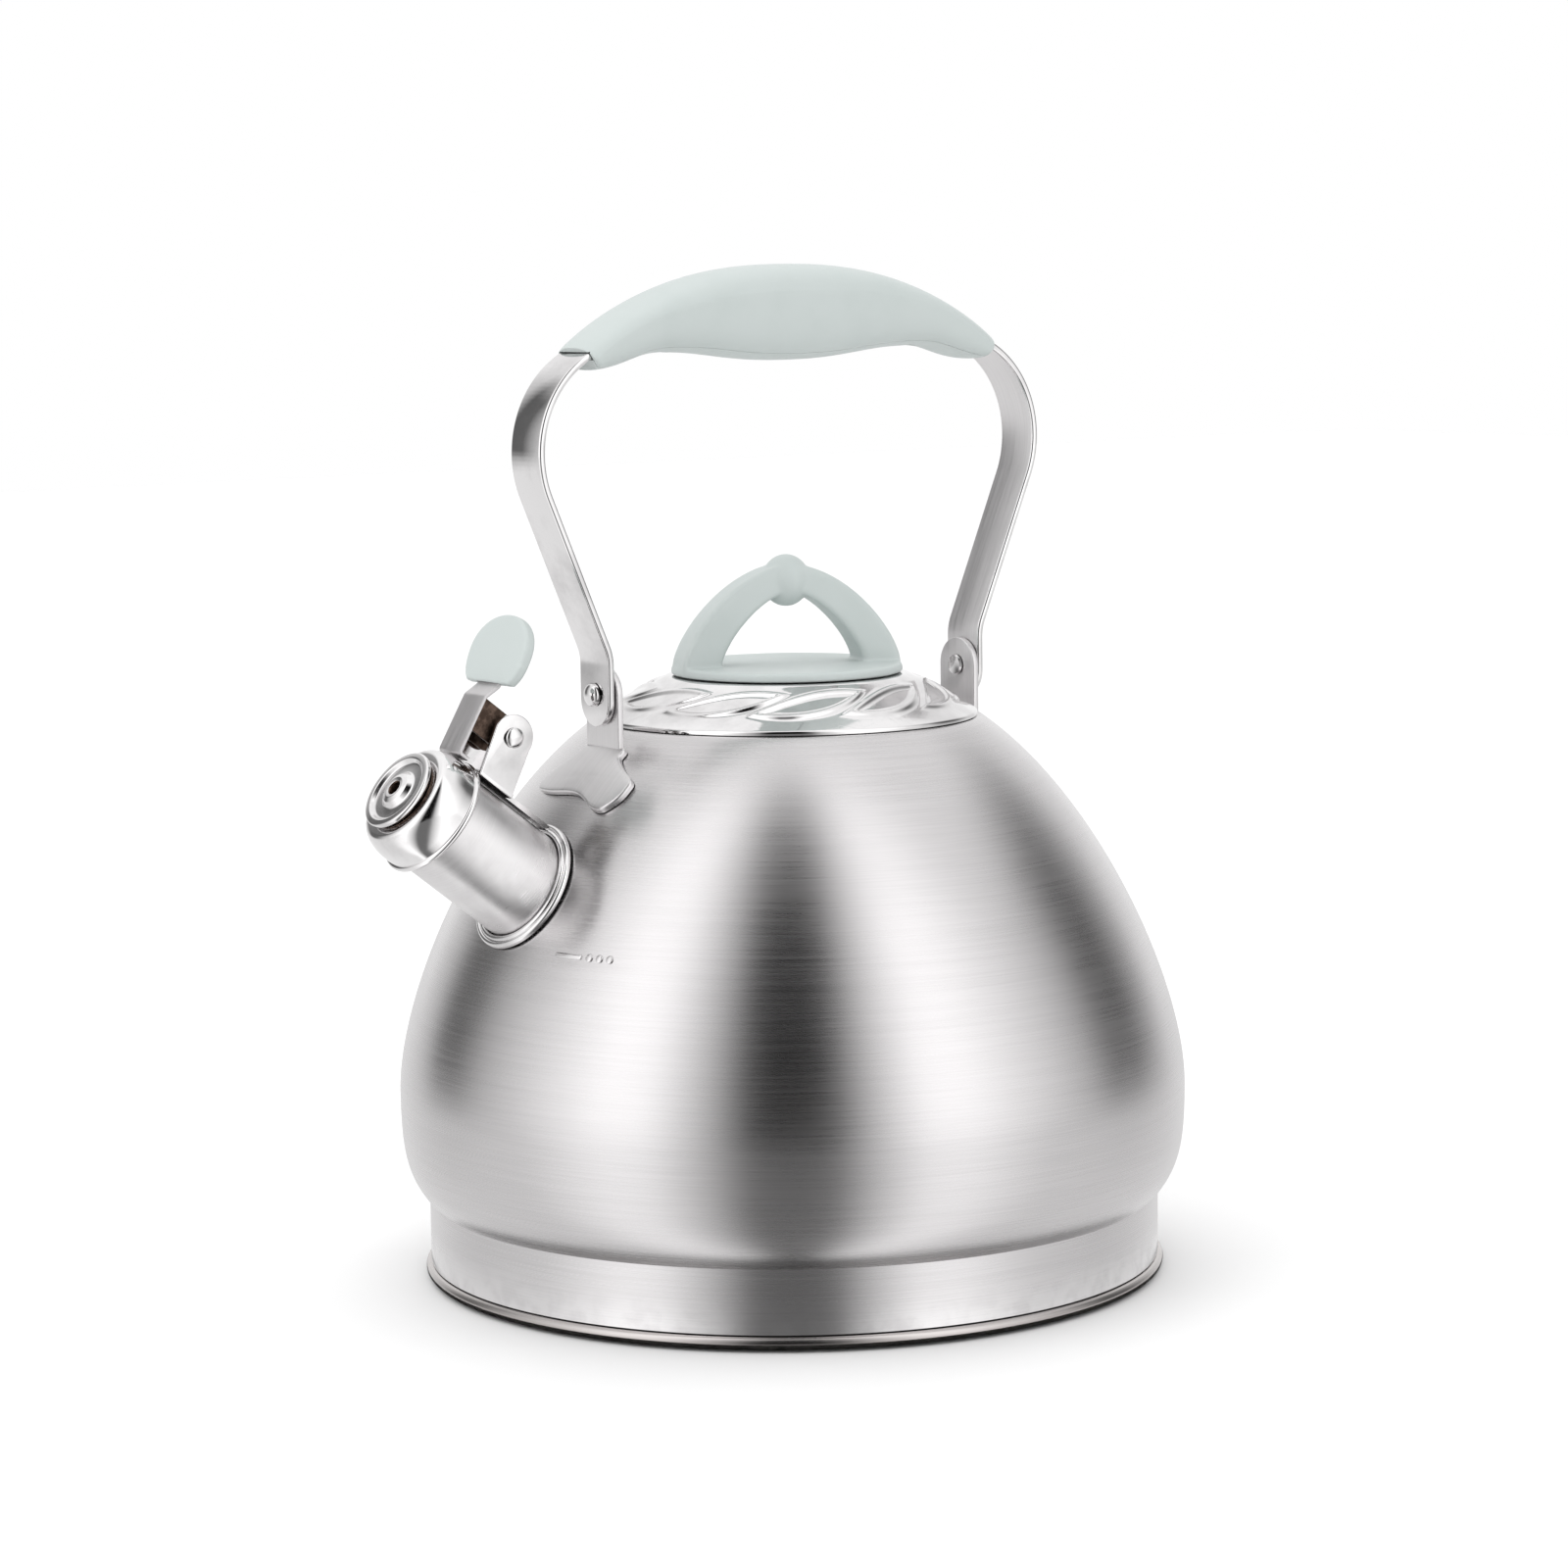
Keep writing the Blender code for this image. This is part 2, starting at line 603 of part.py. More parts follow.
def make_knob(lid):
    bottom = LID_RISE + GAP
    top = bottom + KNOB_PLATE_THICKNESS
    edge = KNOB_PLATE_EDGE
    plate = [(0.0, bottom), (KNOB_PLATE_RADIUS - edge, bottom), (KNOB_PLATE_RADIUS, bottom + edge)]
    plate += [(KNOB_PLATE_RADIUS, top - edge), (KNOB_PLATE_RADIUS - edge, top), (0.0, top)]
    knob = placed("lid_knob", turned(plate, BIG_STEPS), plastic("knob_plastic"), lid)

    arch = across(arch_outline(), ARCH_HALF_DEPTH)
    for vertex in arch.verts:
        vertex.co.y *= 1 - ARCH_DEPTH_TAPER * vertex.co.z / ARCH_HALF_DEPTH
    arch = placed("knob_arch", arch, parent=lid)
    arch.location.z = top

    angles = [pi * i / 8 for i in range(1, 8)]
    ball = [(KNOB_BALL_RADIUS * sin(a), -KNOB_BALL_HALF_HEIGHT * cos(a)) for a in angles]
    ball = [(0.0, -KNOB_BALL_HALF_HEIGHT)] + ball + [(0.0, KNOB_BALL_HALF_HEIGHT)]
    ball = placed("knob_ball", turned(ball, SMALL_STEPS), parent=lid)
    ball.location.z = top + ARCH_HEIGHT + KNOB_BALL_STANDOUT - KNOB_BALL_HALF_HEIGHT
    join(knob, arch, ball)

    for side, x in lid_screw_places():
        reach = LID_SCREW_LENGTH + GAP
        hole = rod(f"knob_hole_{side}", LID_SCREW_RADIUS + GAP, bottom - CUT_BEYOND, bottom + reach, lid)
        hole.location.x = x
        cut(knob, hole)


def make_lid_screws(lid):
    washer_top = LID_RISE - LID_SHEET - GAP
    washer_bottom = washer_top - WASHER_THICKNESS
    head_top = washer_bottom - GAP
    bore = LID_SCREW_RADIUS + GAP
    rim = bore + WASHER_WIDTH - GAP
    ring = [(bore, washer_bottom), (rim, washer_bottom), (rim, washer_top), (bore, washer_top)]
    length = LID_RISE + GAP + LID_SCREW_LENGTH - head_top
    for side, x in lid_screw_places():
        name = f"knob_washer_{side}"
        placed(name, turned(ring, WHISTLE_STEPS), screw_steel(name), lid).location.x = x
        screw = headed(
            f"knob_screw_{side}", LID_SCREW_RADIUS, length, LID_SCREW_RADIUS + LID_SCREW_HEAD_WIDTH,
            LID_SCREW_HEAD_HEIGHT, screw_steel(f"knob_screw_{side}"), lid,
        )
        screw.location = (x, 0.0, head_top)


# --- Ears -------------------------------------------------------------------------------------------

# The ear's foot spreads over the shoulder like a leaf: (sideways, down the slope) from its neck.
EAR_FOOT = (
    (-0.0078, -0.0040), (-0.0100, 0.0010), (-0.0150, 0.0060), (-0.0182, 0.0102), (-0.0180, 0.0126),
    (-0.0160, 0.0140), (-0.0083, 0.0146), (0.0016, 0.0140), (0.0070, 0.0150), (0.0125, 0.0172),
    (0.0165, 0.0168), (0.0196, 0.0128), (0.0204, 0.0086), (0.0196, 0.0060), (0.0140, 0.0034),
    (0.0098, 0.0006), (0.0078, -0.0040),
)


def dome_solid(name, path):
    """A hidden solid that fills everything under a path of (radius, height) points."""
    return placed(name, turned(path + [(0.0, path[-1][1]), (0.0, path[0][1])], BIG_STEPS))


def make_ear(side, direction):
    """An upright plate with a round top, and a foot on the shoulder. Direction is -1 on the spout's side."""
    turn = 0.0 if direction > 0 else pi
    ear_frame = frame(f"{side}_ear_frame", (0.0, 0.0, 0.0), turn=turn)
    outer = EAR_REACH + EAR_SHEET
    half = EAR_WIDTH / 2
    bottom = height_on_path(DOME, outer) - EAR_SHEET
    outline = [(-half, bottom)] + arc((0.0, PIVOT_HEIGHT), half, pi, 0.0, 12) + [(half, bottom)]
    plate = extruded(outline, EAR_REACH, outer, lambda y, z, x: (x, y, z))
    ear = placed(f"{side}_ear", plate, steel(f"{side}_ear_steel"), ear_frame)

    neck_height = height_on_path(DOME, outer)
    neck = Vector((outer, 0.0, neck_height))
    run = EAR_FOOT_RUN
    fall = neck_height - height_on_path(DOME, outer + run)
    down = Vector((run, 0.0, -fall)).normalized()
    normal = Vector((-down.z, 0.0, down.x))
    sideways = Vector((0.0, 1.0, 0.0))
    leaf = extruded(EAR_FOOT, -run, run, lambda y, s, w: tuple(neck + sideways * y + down * s + normal * w))
    leaf = placed(f"{side}_ear_leaf", leaf, parent=ear_frame)
    skin = [p for p in DOME if p[1] > BELLY_HEIGHT]
    over = offset_path(skin, -GAP - EAR_FOOT_SHEET)
    under = offset_path(skin, -GAP)
    modify(leaf, "INTERSECT", dome_solid(f"{side}_skin_over", over))
    join(ear, leaf)
    cut(ear, dome_solid(f"{side}_skin_under", under))

    bore = RIVET_RADIUS + PIVOT_PLAY
    hole = rod(f"{side}_ear_hole", bore, EAR_REACH - CUT_BEYOND, outer + CUT_BEYOND, steps=20)
    hole.rotation_euler.y = pi / 2
    hole.location.z = PIVOT_HEIGHT
    hole.parent = ear_frame
    cut(ear, hole)
    return ear_frame


def make_rivet(side, ear_frame):
    """The handle's pivot, driven in from outside the strap and spread inside the ear."""
    strap_face = STRAP_FACE + GAP
    shank = strap_face - EAR_REACH + GAP
    rivet = headed(
        f"{side}_handle_rivet", RIVET_RADIUS, shank, RIVET_RADIUS + RIVET_HEAD_WIDTH, RIVET_HEAD_HEIGHT,
        polished(f"{side}_rivet_steel"), ear_frame, (RIVET_RADIUS + RIVET_TAIL_WIDTH, RIVET_TAIL_HEIGHT),
    )
    rivet.rotation_euler.y = -pi / 2
    rivet.location = (strap_face, 0.0, PIVOT_HEIGHT)


# --- Handle -----------------------------------------------------------------------------------------

def strap_path():
    """The strap's outer face relative to the pivots, from the spout side's end over the top to the other."""
    bend = STRAP_BEND_ABOVE_PIVOT
    corner = STRAP_FACE + (STRAP_RISE - bend) * tan(STRAP_LEAN)
    right = [(STRAP_FACE, -STRAP_TAIL), (STRAP_FACE, bend), (corner, STRAP_RISE)]
    left = [(-x, z) for x, z in right[::-1]]
    radii = [STRAP_BEND_RADIUS, STRAP_CORNER_RADIUS, STRAP_CORNER_RADIUS, STRAP_BEND_RADIUS]
    return rounded_path(right + left, radii, radians(9))


def make_strap(handle):
    strap = across(sheet_section(strap_path(), STRAP_SHEET), STRAP_WIDTH / 2)
    end_corners = [edge for edge in strap.edges if lies_at(edge, 2, -STRAP_TAIL) and runs_level(edge, 1)]
    rounding = STRAP_END_ROUNDING * STRAP_WIDTH / 2
    bmesh.ops.bevel(strap, geom=end_corners, offset=rounding, segments=6, profile=0.5, affect="EDGES")
    strap = placed("handle_strap", strap, steel("strap_steel"), handle)
    reach = STRAP_FACE + CUT_BEYOND
    hole = rod("strap_rivet_hole", RIVET_RADIUS + PIVOT_PLAY, -reach, reach, handle, 20)
    hole.rotation_euler.y = pi / 2
    cut(strap, hole)
    return strap


def grip_top(x):
    share = abs(x / GRIP_HALF_LENGTH) ** GRIP_FULLNESS
    return STRAP_RISE + GRIP_RISE - GRIP_END_FALL * share


def grip_bottom_path():
    """Half of the grip's underside: a belly at the middle, a shallow waist, and a low end."""
    waist_at = GRIP_WAIST_SHARE * GRIP_HALF_LENGTH
    belly, waist, end = (STRAP_RISE - depth for depth in (GRIP_BELLY_DEPTH, GRIP_WAIST_DEPTH, GRIP_END_DEPTH))
    middle = curve((0.0, belly), (0.5 * waist_at, belly), (0.6 * waist_at, waist), (waist_at, waist), 8)
    rest = GRIP_HALF_LENGTH - waist_at
    outer = curve(
        (waist_at, waist), (waist_at + 0.4 * rest, waist), (GRIP_HALF_LENGTH - 0.5 * rest, end),
        (GRIP_HALF_LENGTH, end), 8,
    )
    return middle + outer[1:]


def grip_ring(x):
    """One cross-section of the grip, a rounded rectangle standing across the strap."""
    top = grip_top(x)
    bottom = height_on_path(grip_bottom_path(), abs(x))
    share = abs(x / GRIP_HALF_LENGTH) ** GRIP_FULLNESS
    half_width = GRIP_HALF_WIDTH + (GRIP_END_HALF_WIDTH - GRIP_HALF_WIDTH) * share
    middle, half_height = (top + bottom) / 2, (top - bottom) / 2
    ring = []
    for i in range(GRIP_SIDES):
        angle = 2 * pi * (i + 0.5) / GRIP_SIDES
        across_share = abs(cos(angle)) ** (2 / GRIP_SQUARENESS)
        up_share = abs(sin(angle)) ** (2 / GRIP_SQUARENESS)
        y = half_width * across_share * (1 if cos(angle) > 0 else -1)
        z = half_height * up_share * (1 if sin(angle) > 0 else -1)
        ring.append((x, y, middle + z))
    return ring


def grip_solid():
    steps = range(GRIP_STATIONS + 1)
    return lofted([grip_ring(GRIP_HALF_LENGTH * -cos(pi * i / GRIP_STATIONS)) for i in steps])


def region_below(path, clearance):
    """The outline of everything under the strap, out to a clearance above the given face."""
    face = [p for p in offset_path(path, clearance) if p[1] > STRAP_RISE / 3]
    return face + [(face[-1][0], STRAP_RISE / 5), (face[0][0], STRAP_RISE / 5)]


def make_grip(handle):
    shell = placed("grip_shell", grip_solid(), plastic("grip_plastic"), handle)
    channel_half = STRAP_WIDTH / 2 + GAP
    channel = placed("grip_channel", across(region_below(strap_path(), -GAP), channel_half), parent=handle)
    cut(shell, channel)

    cover = placed("grip_cover", grip_solid(), plastic("grip_cover_plastic"), handle)
    under_strap = region_below(offset_path(strap_path(), STRAP_SHEET), GAP)
    plug = placed("grip_plug", across(under_strap, channel_half - GAP), parent=handle)
    modify(cover, "INTERSECT", plug)

    strap = bpy.data.objects["handle_strap"]
    bore = GRIP_SCREW_RADIUS + GAP
    head_bore = GRIP_SCREW_HEAD_RADIUS + GAP
    for side, x in (("front", -GRIP_SCREW_OFFSET), ("rear", GRIP_SCREW_OFFSET)):
        seat = height_on_path(grip_bottom_path(), abs(x)) + GRIP_SCREW_HEAD_HEIGHT + GRIP_SCREW_HEAD_SINK
        length = STRAP_RISE + GRIP_SCREW_BITE - seat
        drill = rod(f"grip_bore_{side}", bore, seat - CUT_BEYOND, seat + length + GAP, handle)
        sink = rod(f"grip_sink_{side}", head_bore, STRAP_RISE / 2, seat + GAP, handle, 20)
        for hole in (drill, sink):
            hole.location.x = x
        cut(shell, drill)
        cut(strap, drill)
        cut(cover, drill, sink)
        screw = headed(
            f"grip_screw_{side}", GRIP_SCREW_RADIUS, length, GRIP_SCREW_HEAD_RADIUS, GRIP_SCREW_HEAD_HEIGHT,
            screw_steel(f"grip_screw_{side}"), handle,
        )
        screw.location = (x, 0.0, seat)


# --- Spout ------------------------------------------------------------------------------------------

SPOUT_START = Vector((-radius_on_path(DOME, SPOUT_HEIGHT), 0.0, SPOUT_HEIGHT))
SPOUT_AXIS = Vector((-cos(SPOUT_RISE), 0.0, sin(SPOUT_RISE)))
SPOUT_UP = Vector((sin(SPOUT_RISE), 0.0, cos(SPOUT_RISE)))


def along_to_body(radius, angle):
    """How far along the spout a line beside its axis, at this radius and angle, meets the body."""
    start = SPOUT_START + SPOUT_UP * (radius * cos(angle)) + Vector((0.0, radius * sin(angle), 0.0))
    low, high = -2 * SPOUT_RADIUS, 2 * SPOUT_RADIUS
    for _ in range(30):
        middle = (low + high) / 2
        point = start + SPOUT_AXIS * middle
        if hypot(point.x, point.y) < radius_on_path(DOME, point.z):
            low = middle
        else:
            high = middle
    return low


def fitted_rings(section):
    """Rings about the spout's axis from (radius, height over the body or along the axis, follows) points."""
    rings = []
    for radius, height, follows_body in section:
        ring = []
        for i in range(SPOUT_STEPS):
            angle = 2 * pi * i / SPOUT_STEPS
            base = along_to_body(radius, angle) if follows_body else 0.0
            ring.append((radius * cos(angle), radius * sin(angle), base + height))
        rings.append(ring)
    return rings


def make_spout(spout):
    bore = SPOUT_RADIUS - SPOUT_SHEET
    tube = fitted_rings([
        (SPOUT_RADIUS, -SPOUT_ROOT_DEPTH, True),
        (SPOUT_RADIUS, SPOUT_LENGTH, False),
        (bore, SPOUT_LENGTH, False),
        (bore, -SPOUT_ROOT_DEPTH, True),
    ])
    placed("spout_tube", looped(tube), steel("spout_steel"), spout)

    inner = SPOUT_RADIUS + GAP
    outer = inner + FLANGE_WIDTH
    flange = fitted_rings([
        (inner, FLANGE_LIFT, True),
        (outer, FLANGE_LIFT, True),
        (outer, 0.55 * FLANGE_HEIGHT, True),
        (outer - 0.25 * FLANGE_WIDTH, FLANGE_HEIGHT, True),
        (inner + 0.25 * FLANGE_WIDTH, FLANGE_HEIGHT, True),
        (inner, 0.7 * FLANGE_HEIGHT, True),
    ])
    placed("spout_flange", looped(flange), polished("flange_steel"), spout)


def rounded_ear(centre, radius, foot_low, foot_high):
    """A plate outline with a round end at centre, running down to the two foot points, in (up, along)."""
    outline = [foot_high]
    outline += arc(centre, radius, pi / 2, -pi / 2, 10)
    return outline + [foot_low]


def make_bracket(spout):
    bottom = SPOUT_RADIUS + GAP
    top = bottom + BRACKET_SHEET
    half = BRACKET_HALF_WIDTH
    base = box((bottom, -half, BRACKET_START), (top, half, BRACKET_END))
    bracket = placed("hinge_bracket", base, steel("bracket_steel"), spout)
    tail_half = BRACKET_TAIL_HALF_WIDTH
    tail_start = along_to_body(bottom, 0.0) + FLANGE_HEIGHT + BRACKET_TAIL_CLEAR
    tail = box((bottom, -tail_half, tail_start), (top, tail_half, BRACKET_START + BRACKET_SHEET))
    join(bracket, placed("bracket_tail", tail, parent=spout))
    feet = (bottom, BRACKET_START), (bottom, BRACKET_END)
    outline = rounded_ear((PIN_ABOVE, PIN_ALONG), BRACKET_EAR_RADIUS, *feet)
    for side in (-1, 1):
        centre = side * (half - BRACKET_SHEET / 2)
        name = f"bracket_ear_{'left' if side < 0 else 'right'}"
        join(bracket, placed(name, across(outline, BRACKET_SHEET / 2, centre), parent=spout))
    hole = rod("bracket_hole", PIN_RADIUS + GAP, -2 * half, 2 * half, spout, 20)
    hole.rotation_euler.x = pi / 2
    hole.location = (PIN_ABOVE, 0.0, PIN_ALONG)
    cut(bracket, hole)

    length = 2 * (half + GAP)
    pin = headed(
        "hinge_pin", PIN_RADIUS, length, PIN_HEAD_RADIUS, PIN_HEAD_HEIGHT, polished("pin_steel"), spout,
        (PIN_HEAD_RADIUS, PIN_HEAD_HEIGHT),
    )
    pin.rotation_euler.x = -pi / 2
    pin.location = (PIN_ABOVE, -length / 2, PIN_ALONG)


# --- Whistle, modelled about the hinge pin: X is up from the spout, Z along it ------------------------

def whistle_shoulder(inset, count):
    """Where the cap's wall bends over to its front, this far inside its outer face."""
    wall = WALL_RADIUS - inset
    front = CAP_RIM_ALONG + WHISTLE_DEPTH - inset
    bend = WHISTLE_FRONT_RADIUS - inset
    return curve(
        (wall, CAP_RIM_ALONG + WHISTLE_WALL_SHARE * WHISTLE_DEPTH),
        (wall, CAP_RIM_ALONG + WHISTLE_BEND_SHARE * WHISTLE_DEPTH),
        (bend + WHISTLE_SHOULDER_BEND, front),
        (bend - WHISTLE_SHOULDER_BEND / 2, front),
        count,
    )


def whistle_section():
    """The cap's sheet in (radius, distance along the spout), from its rolled rim to its bore and back."""
    rim = CAP_RIM_ALONG
    front = rim + WHISTLE_DEPTH
    section = [(CAP_RIM_RADIUS, rim), (CAP_RIM_RADIUS, rim + CAP_RIM_HEIGHT)]
    section += [(WALL_RADIUS, rim + 1.6 * CAP_RIM_HEIGHT)]
    section += whistle_shoulder(0.0, 6)
    section += [(WHISTLE_BORE_RADIUS, front), (WHISTLE_BORE_RADIUS, front - WHISTLE_SHEET)]
    section += whistle_shoulder(WHISTLE_SHEET, 5)[::-1]
    return section + [(WALL_RADIUS - WHISTLE_SHEET, rim)]


def front_disc_section():
    """The front disc: an outer ring, a hollow, and a nipple round the hole."""
    back = CAP_RIM_ALONG + WHISTLE_DEPTH + GAP
    top = back + FRONT_DISC_HEIGHT
    ring = back + FRONT_RING_HEIGHT
    outer = FRONT_DISC_RADIUS
    inner = outer - FRONT_RING_WIDTH
    hollow = back + FRONT_DISC_HOLLOW_DEPTH
    edge = NIPPLE_EDGE
    section = [(WHISTLE_HOLE_RADIUS, back - GAP), (outer - 2 * FRONT_RING_WIDTH, back), (outer, back)]
    section += [(outer, ring - edge / 2), (outer - edge / 2, ring), (inner, ring), (inner - edge, hollow)]
    section += [(NIPPLE_RADIUS + edge, hollow), (NIPPLE_RADIUS, top - edge), (NIPPLE_RADIUS - edge, top)]
    return section + [(WHISTLE_HOLE_RADIUS, top)]


def make_whistle(whistle, spout_to_whistle):
    """The cap, its two whistle discs, the lever and the pad, all turning about the hinge pin."""
    cap_frame = frame("cap_frame", spout_to_whistle, parent=whistle)
    placed("whistle_cap", turned(whistle_section(), WHISTLE_STEPS), polished("cap_steel"), cap_frame)
    disc = turned(front_disc_section(), WHISTLE_STEPS)
    placed("whistle_front_disc", disc, polished("front_disc_steel"), cap_frame)

    seat = CAP_RIM_ALONG + REAR_DISC_DEPTH
    dish = seat + REAR_DISC_DISH
    rear = [(WHISTLE_HOLE_RADIUS, dish), (WHISTLE_BORE_RADIUS - 2 * REAR_DISC_DISH, dish)]
    rear += [(WHISTLE_BORE_RADIUS, seat), (WALL_RADIUS - WHISTLE_SHEET - GAP, seat)]
    rear += [(radius, height + REAR_DISC_SHEET) for radius, height in rear[::-1]]
    placed("whistle_rear_disc", turned(rear, WHISTLE_STEPS), steel("rear_disc_steel"), cap_frame)


def lever_corners():
    """The corners of the lever's sheet: its foot on the cap, its knee, and its neck where the pad starts."""
    foot_up = WALL_RADIUS + GAP + LEVER_SHEET / 2 - PIN_ABOVE
    corner = (foot_up, LEVER_FACE)
    rise = LEVER_KNEE_RISE - foot_up
    knee = (LEVER_KNEE_RISE, corner[1] + rise * tan(LEVER_LEAN))
    length = LEVER_KNEE_LENGTH
    neck = (knee[0] + length * cos(LEVER_KNEE_BACK), knee[1] + length * sin(LEVER_KNEE_BACK))
    return corner, knee, neck


def lever_path():
    """The middle of the lever's sheet, from its foot on the cap, up, back at the knee and into the pad."""
    corner, knee, neck = lever_corners()
    start = (corner[0], corner[1] - LEVER_FOOT_LENGTH)
    tip = (neck[0] + LEVER_TAB_LENGTH * cos(PAD_TILT), neck[1] + LEVER_TAB_LENGTH * sin(PAD_TILT))
    bends = [LEVER_FOOT_BEND, LEVER_BEND, LEVER_BEND]
    return rounded_path([start, corner, knee, neck, tip], bends, radians(22))


def lever_height(path, up):
    """How far along the spout the lever's sheet stands, at a distance up from the pin."""
    for (x0, z0), (x1, z1) in zip(path, path[1:]):
        if x0 < up <= x1:
            return z0 + (z1 - z0) * (up - x0) / (x1 - x0)
    return path[0][1]


def make_lever(whistle):
    path = lever_path()
    face = offset_path(path, -LEVER_SHEET / 2)
    lever = across(sheet_section(face, LEVER_SHEET), LEVER_HALF_WIDTH)
    lever = placed("whistle_lever", lever, steel("lever_steel"), whistle)
    eye = LEVER_EYE_RADIUS
    lower, upper = lever_height(path, -eye), lever_height(path, eye)
    outline = [(eye, upper)] + arc((0.0, 0.0), eye, 0.0, -pi, 12) + [(-eye, lower)]
    for side in (-1, 1):
        name = f"lever_side_{'left' if side < 0 else 'right'}"
        centre = side * (LEVER_HALF_WIDTH - LEVER_SHEET / 2)
        join(lever, placed(name, across(outline, LEVER_SHEET / 2, centre), parent=whistle))
    hole = rod("lever_hole", PIN_RADIUS + GAP, -2 * LEVER_HALF_WIDTH, 2 * LEVER_HALF_WIDTH, whistle, 20)
    hole.rotation_euler.x = pi / 2
    cut(lever, hole)
    return path


def pad_outline():
    """A teardrop: a flat foot, its widest place low down, and a round top. (across, up) from the foot."""
    foot = (PAD_FOOT_HALF_WIDTH, 0.0)
    widest = (PAD_HALF_WIDTH, PAD_WIDEST)
    corner = ((PAD_FOOT_HALF_WIDTH + 3 * PAD_HALF_WIDTH) / 4, 0.2 * PAD_WIDEST)
    right = curve(foot, corner, (PAD_HALF_WIDTH, 0.6 * PAD_WIDEST), widest, 6)
    top_handles = (PAD_HALF_WIDTH, 0.78 * PAD_HEIGHT), (0.55 * PAD_HALF_WIDTH, PAD_HEIGHT)
    right += curve(widest, *top_handles, (0.0, PAD_HEIGHT), 8)[1:]
    return right + [(-x, z) for x, z in right[-2::-1]]


def make_pad(whistle):
    neck = lever_corners()[2]
    pad_frame = frame("pad_frame", (neck[0], 0.0, neck[1]), tilt=-PAD_TILT, parent=whistle)
    half = PAD_THICKNESS / 2
    pad = extruded(pad_outline(), -half, half, lambda y, x, z: (x + PAD_FOOT_GAP, y, z))
    rim = [edge for edge in pad.edges if runs_level(edge, 2)]
    bmesh.ops.bevel(pad, geom=rim, offset=PAD_EDGE, segments=2, profile=0.6, affect="EDGES")
    pad = placed("thumb_pad", pad, plastic("pad_plastic"), pad_frame)
    deep = LEVER_SHEET / 2 + GAP
    wide = LEVER_HALF_WIDTH + GAP
    slot = box((-CUT_BEYOND, -wide, -deep), (LEVER_TAB_LENGTH + GAP, wide, deep))
    cut(pad, placed("pad_slot", slot, parent=pad_frame))


def make_spring(whistle, path):
    """A torsion spring round the pin: one leg rests on the bracket, the other pushes on the lever."""
    reach_down = PIN_STANDOFF - BRACKET_SHEET - 3 * GAP - SPRING_WIRE_RADIUS
    reach_ahead = lever_height(path, SPRING_COIL_RADIUS) - LEVER_SHEET / 2 - 2 * GAP - SPRING_WIRE_RADIUS
    per_turn = 12
    count = SPRING_TURNS * per_turn + per_turn // 4
    points = [(-reach_down, -SPRING_HALF_WIDTH, -SPRING_COIL_RADIUS)]
    for i in range(count + 1):
        angle = -pi / 2 + 2 * pi * i / per_turn
        y = -SPRING_HALF_WIDTH + 2 * SPRING_HALF_WIDTH * i / count
        points.append((SPRING_COIL_RADIUS * cos(angle), y, SPRING_COIL_RADIUS * sin(angle)))
    points.append((SPRING_COIL_RADIUS, SPRING_HALF_WIDTH, reach_ahead))
    data = bpy.data.curves.new("whistle_spring", "CURVE")
    data.dimensions = "3D"
    data.bevel_depth = SPRING_WIRE_RADIUS
    data.bevel_resolution = 1
    data.use_fill_caps = True
    spline = data.splines.new("POLY")
    spline.points.add(len(points) - 1)
    for place, point in zip(spline.points, points):
        place.co = (*point, 1.0)
    data.materials.append(coloured("spring_steel", SPRING_STEEL, 0.45, 0.9))
    spring = bpy.data.objects.new("whistle_spring", data)
    bpy.context.scene.collection.objects.link(spring)
    spring.parent = whistle


def build():
    clear_scene()
    spout = frame("spout_frame", SPOUT_START, tilt=SPOUT_RISE - pi / 2)
    make_body_shell(spout)
    make_base()
    make_spout(spout)
    make_bracket(spout)

    whistle = frame("whistle_hinge", (PIN_ABOVE, 0.0, PIN_ALONG), parent=spout)
    make_whistle(whistle, (-PIN_ABOVE, 0.0, -PIN_ALONG))
    path = make_lever(whistle)
    make_pad(whistle)
    make_spring(whistle, path)

    lid = frame("lid_frame", (0.0, 0.0, LID_BOTTOM), turn=LID_TURN)
    make_lid_shell(lid)
    make_lid_skirt(lid)
    make_knob(lid)
    make_lid_screws(lid)

    for side, direction in (("front", -1), ("rear", 1)):
        make_rivet(side, make_ear(side, direction))
    handle = frame("handle_hinge", (0.0, 0.0, PIVOT_HEIGHT))
    make_strap(handle)
    make_grip(handle)


build()
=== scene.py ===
"""Looks of a stovetop whistling kettle: satin steel body, polished lid and whistle, sage green mouldings.

Metres, +Z up, in the part's own frame. The spout points to -X and the handle stands on the plane Y = 0.
"""

import json
from math import atan2, ceil, cos, hypot, pi, radians, sin, tan

import bmesh
import bpy
import numpy as np
from mathutils import Matrix, Vector


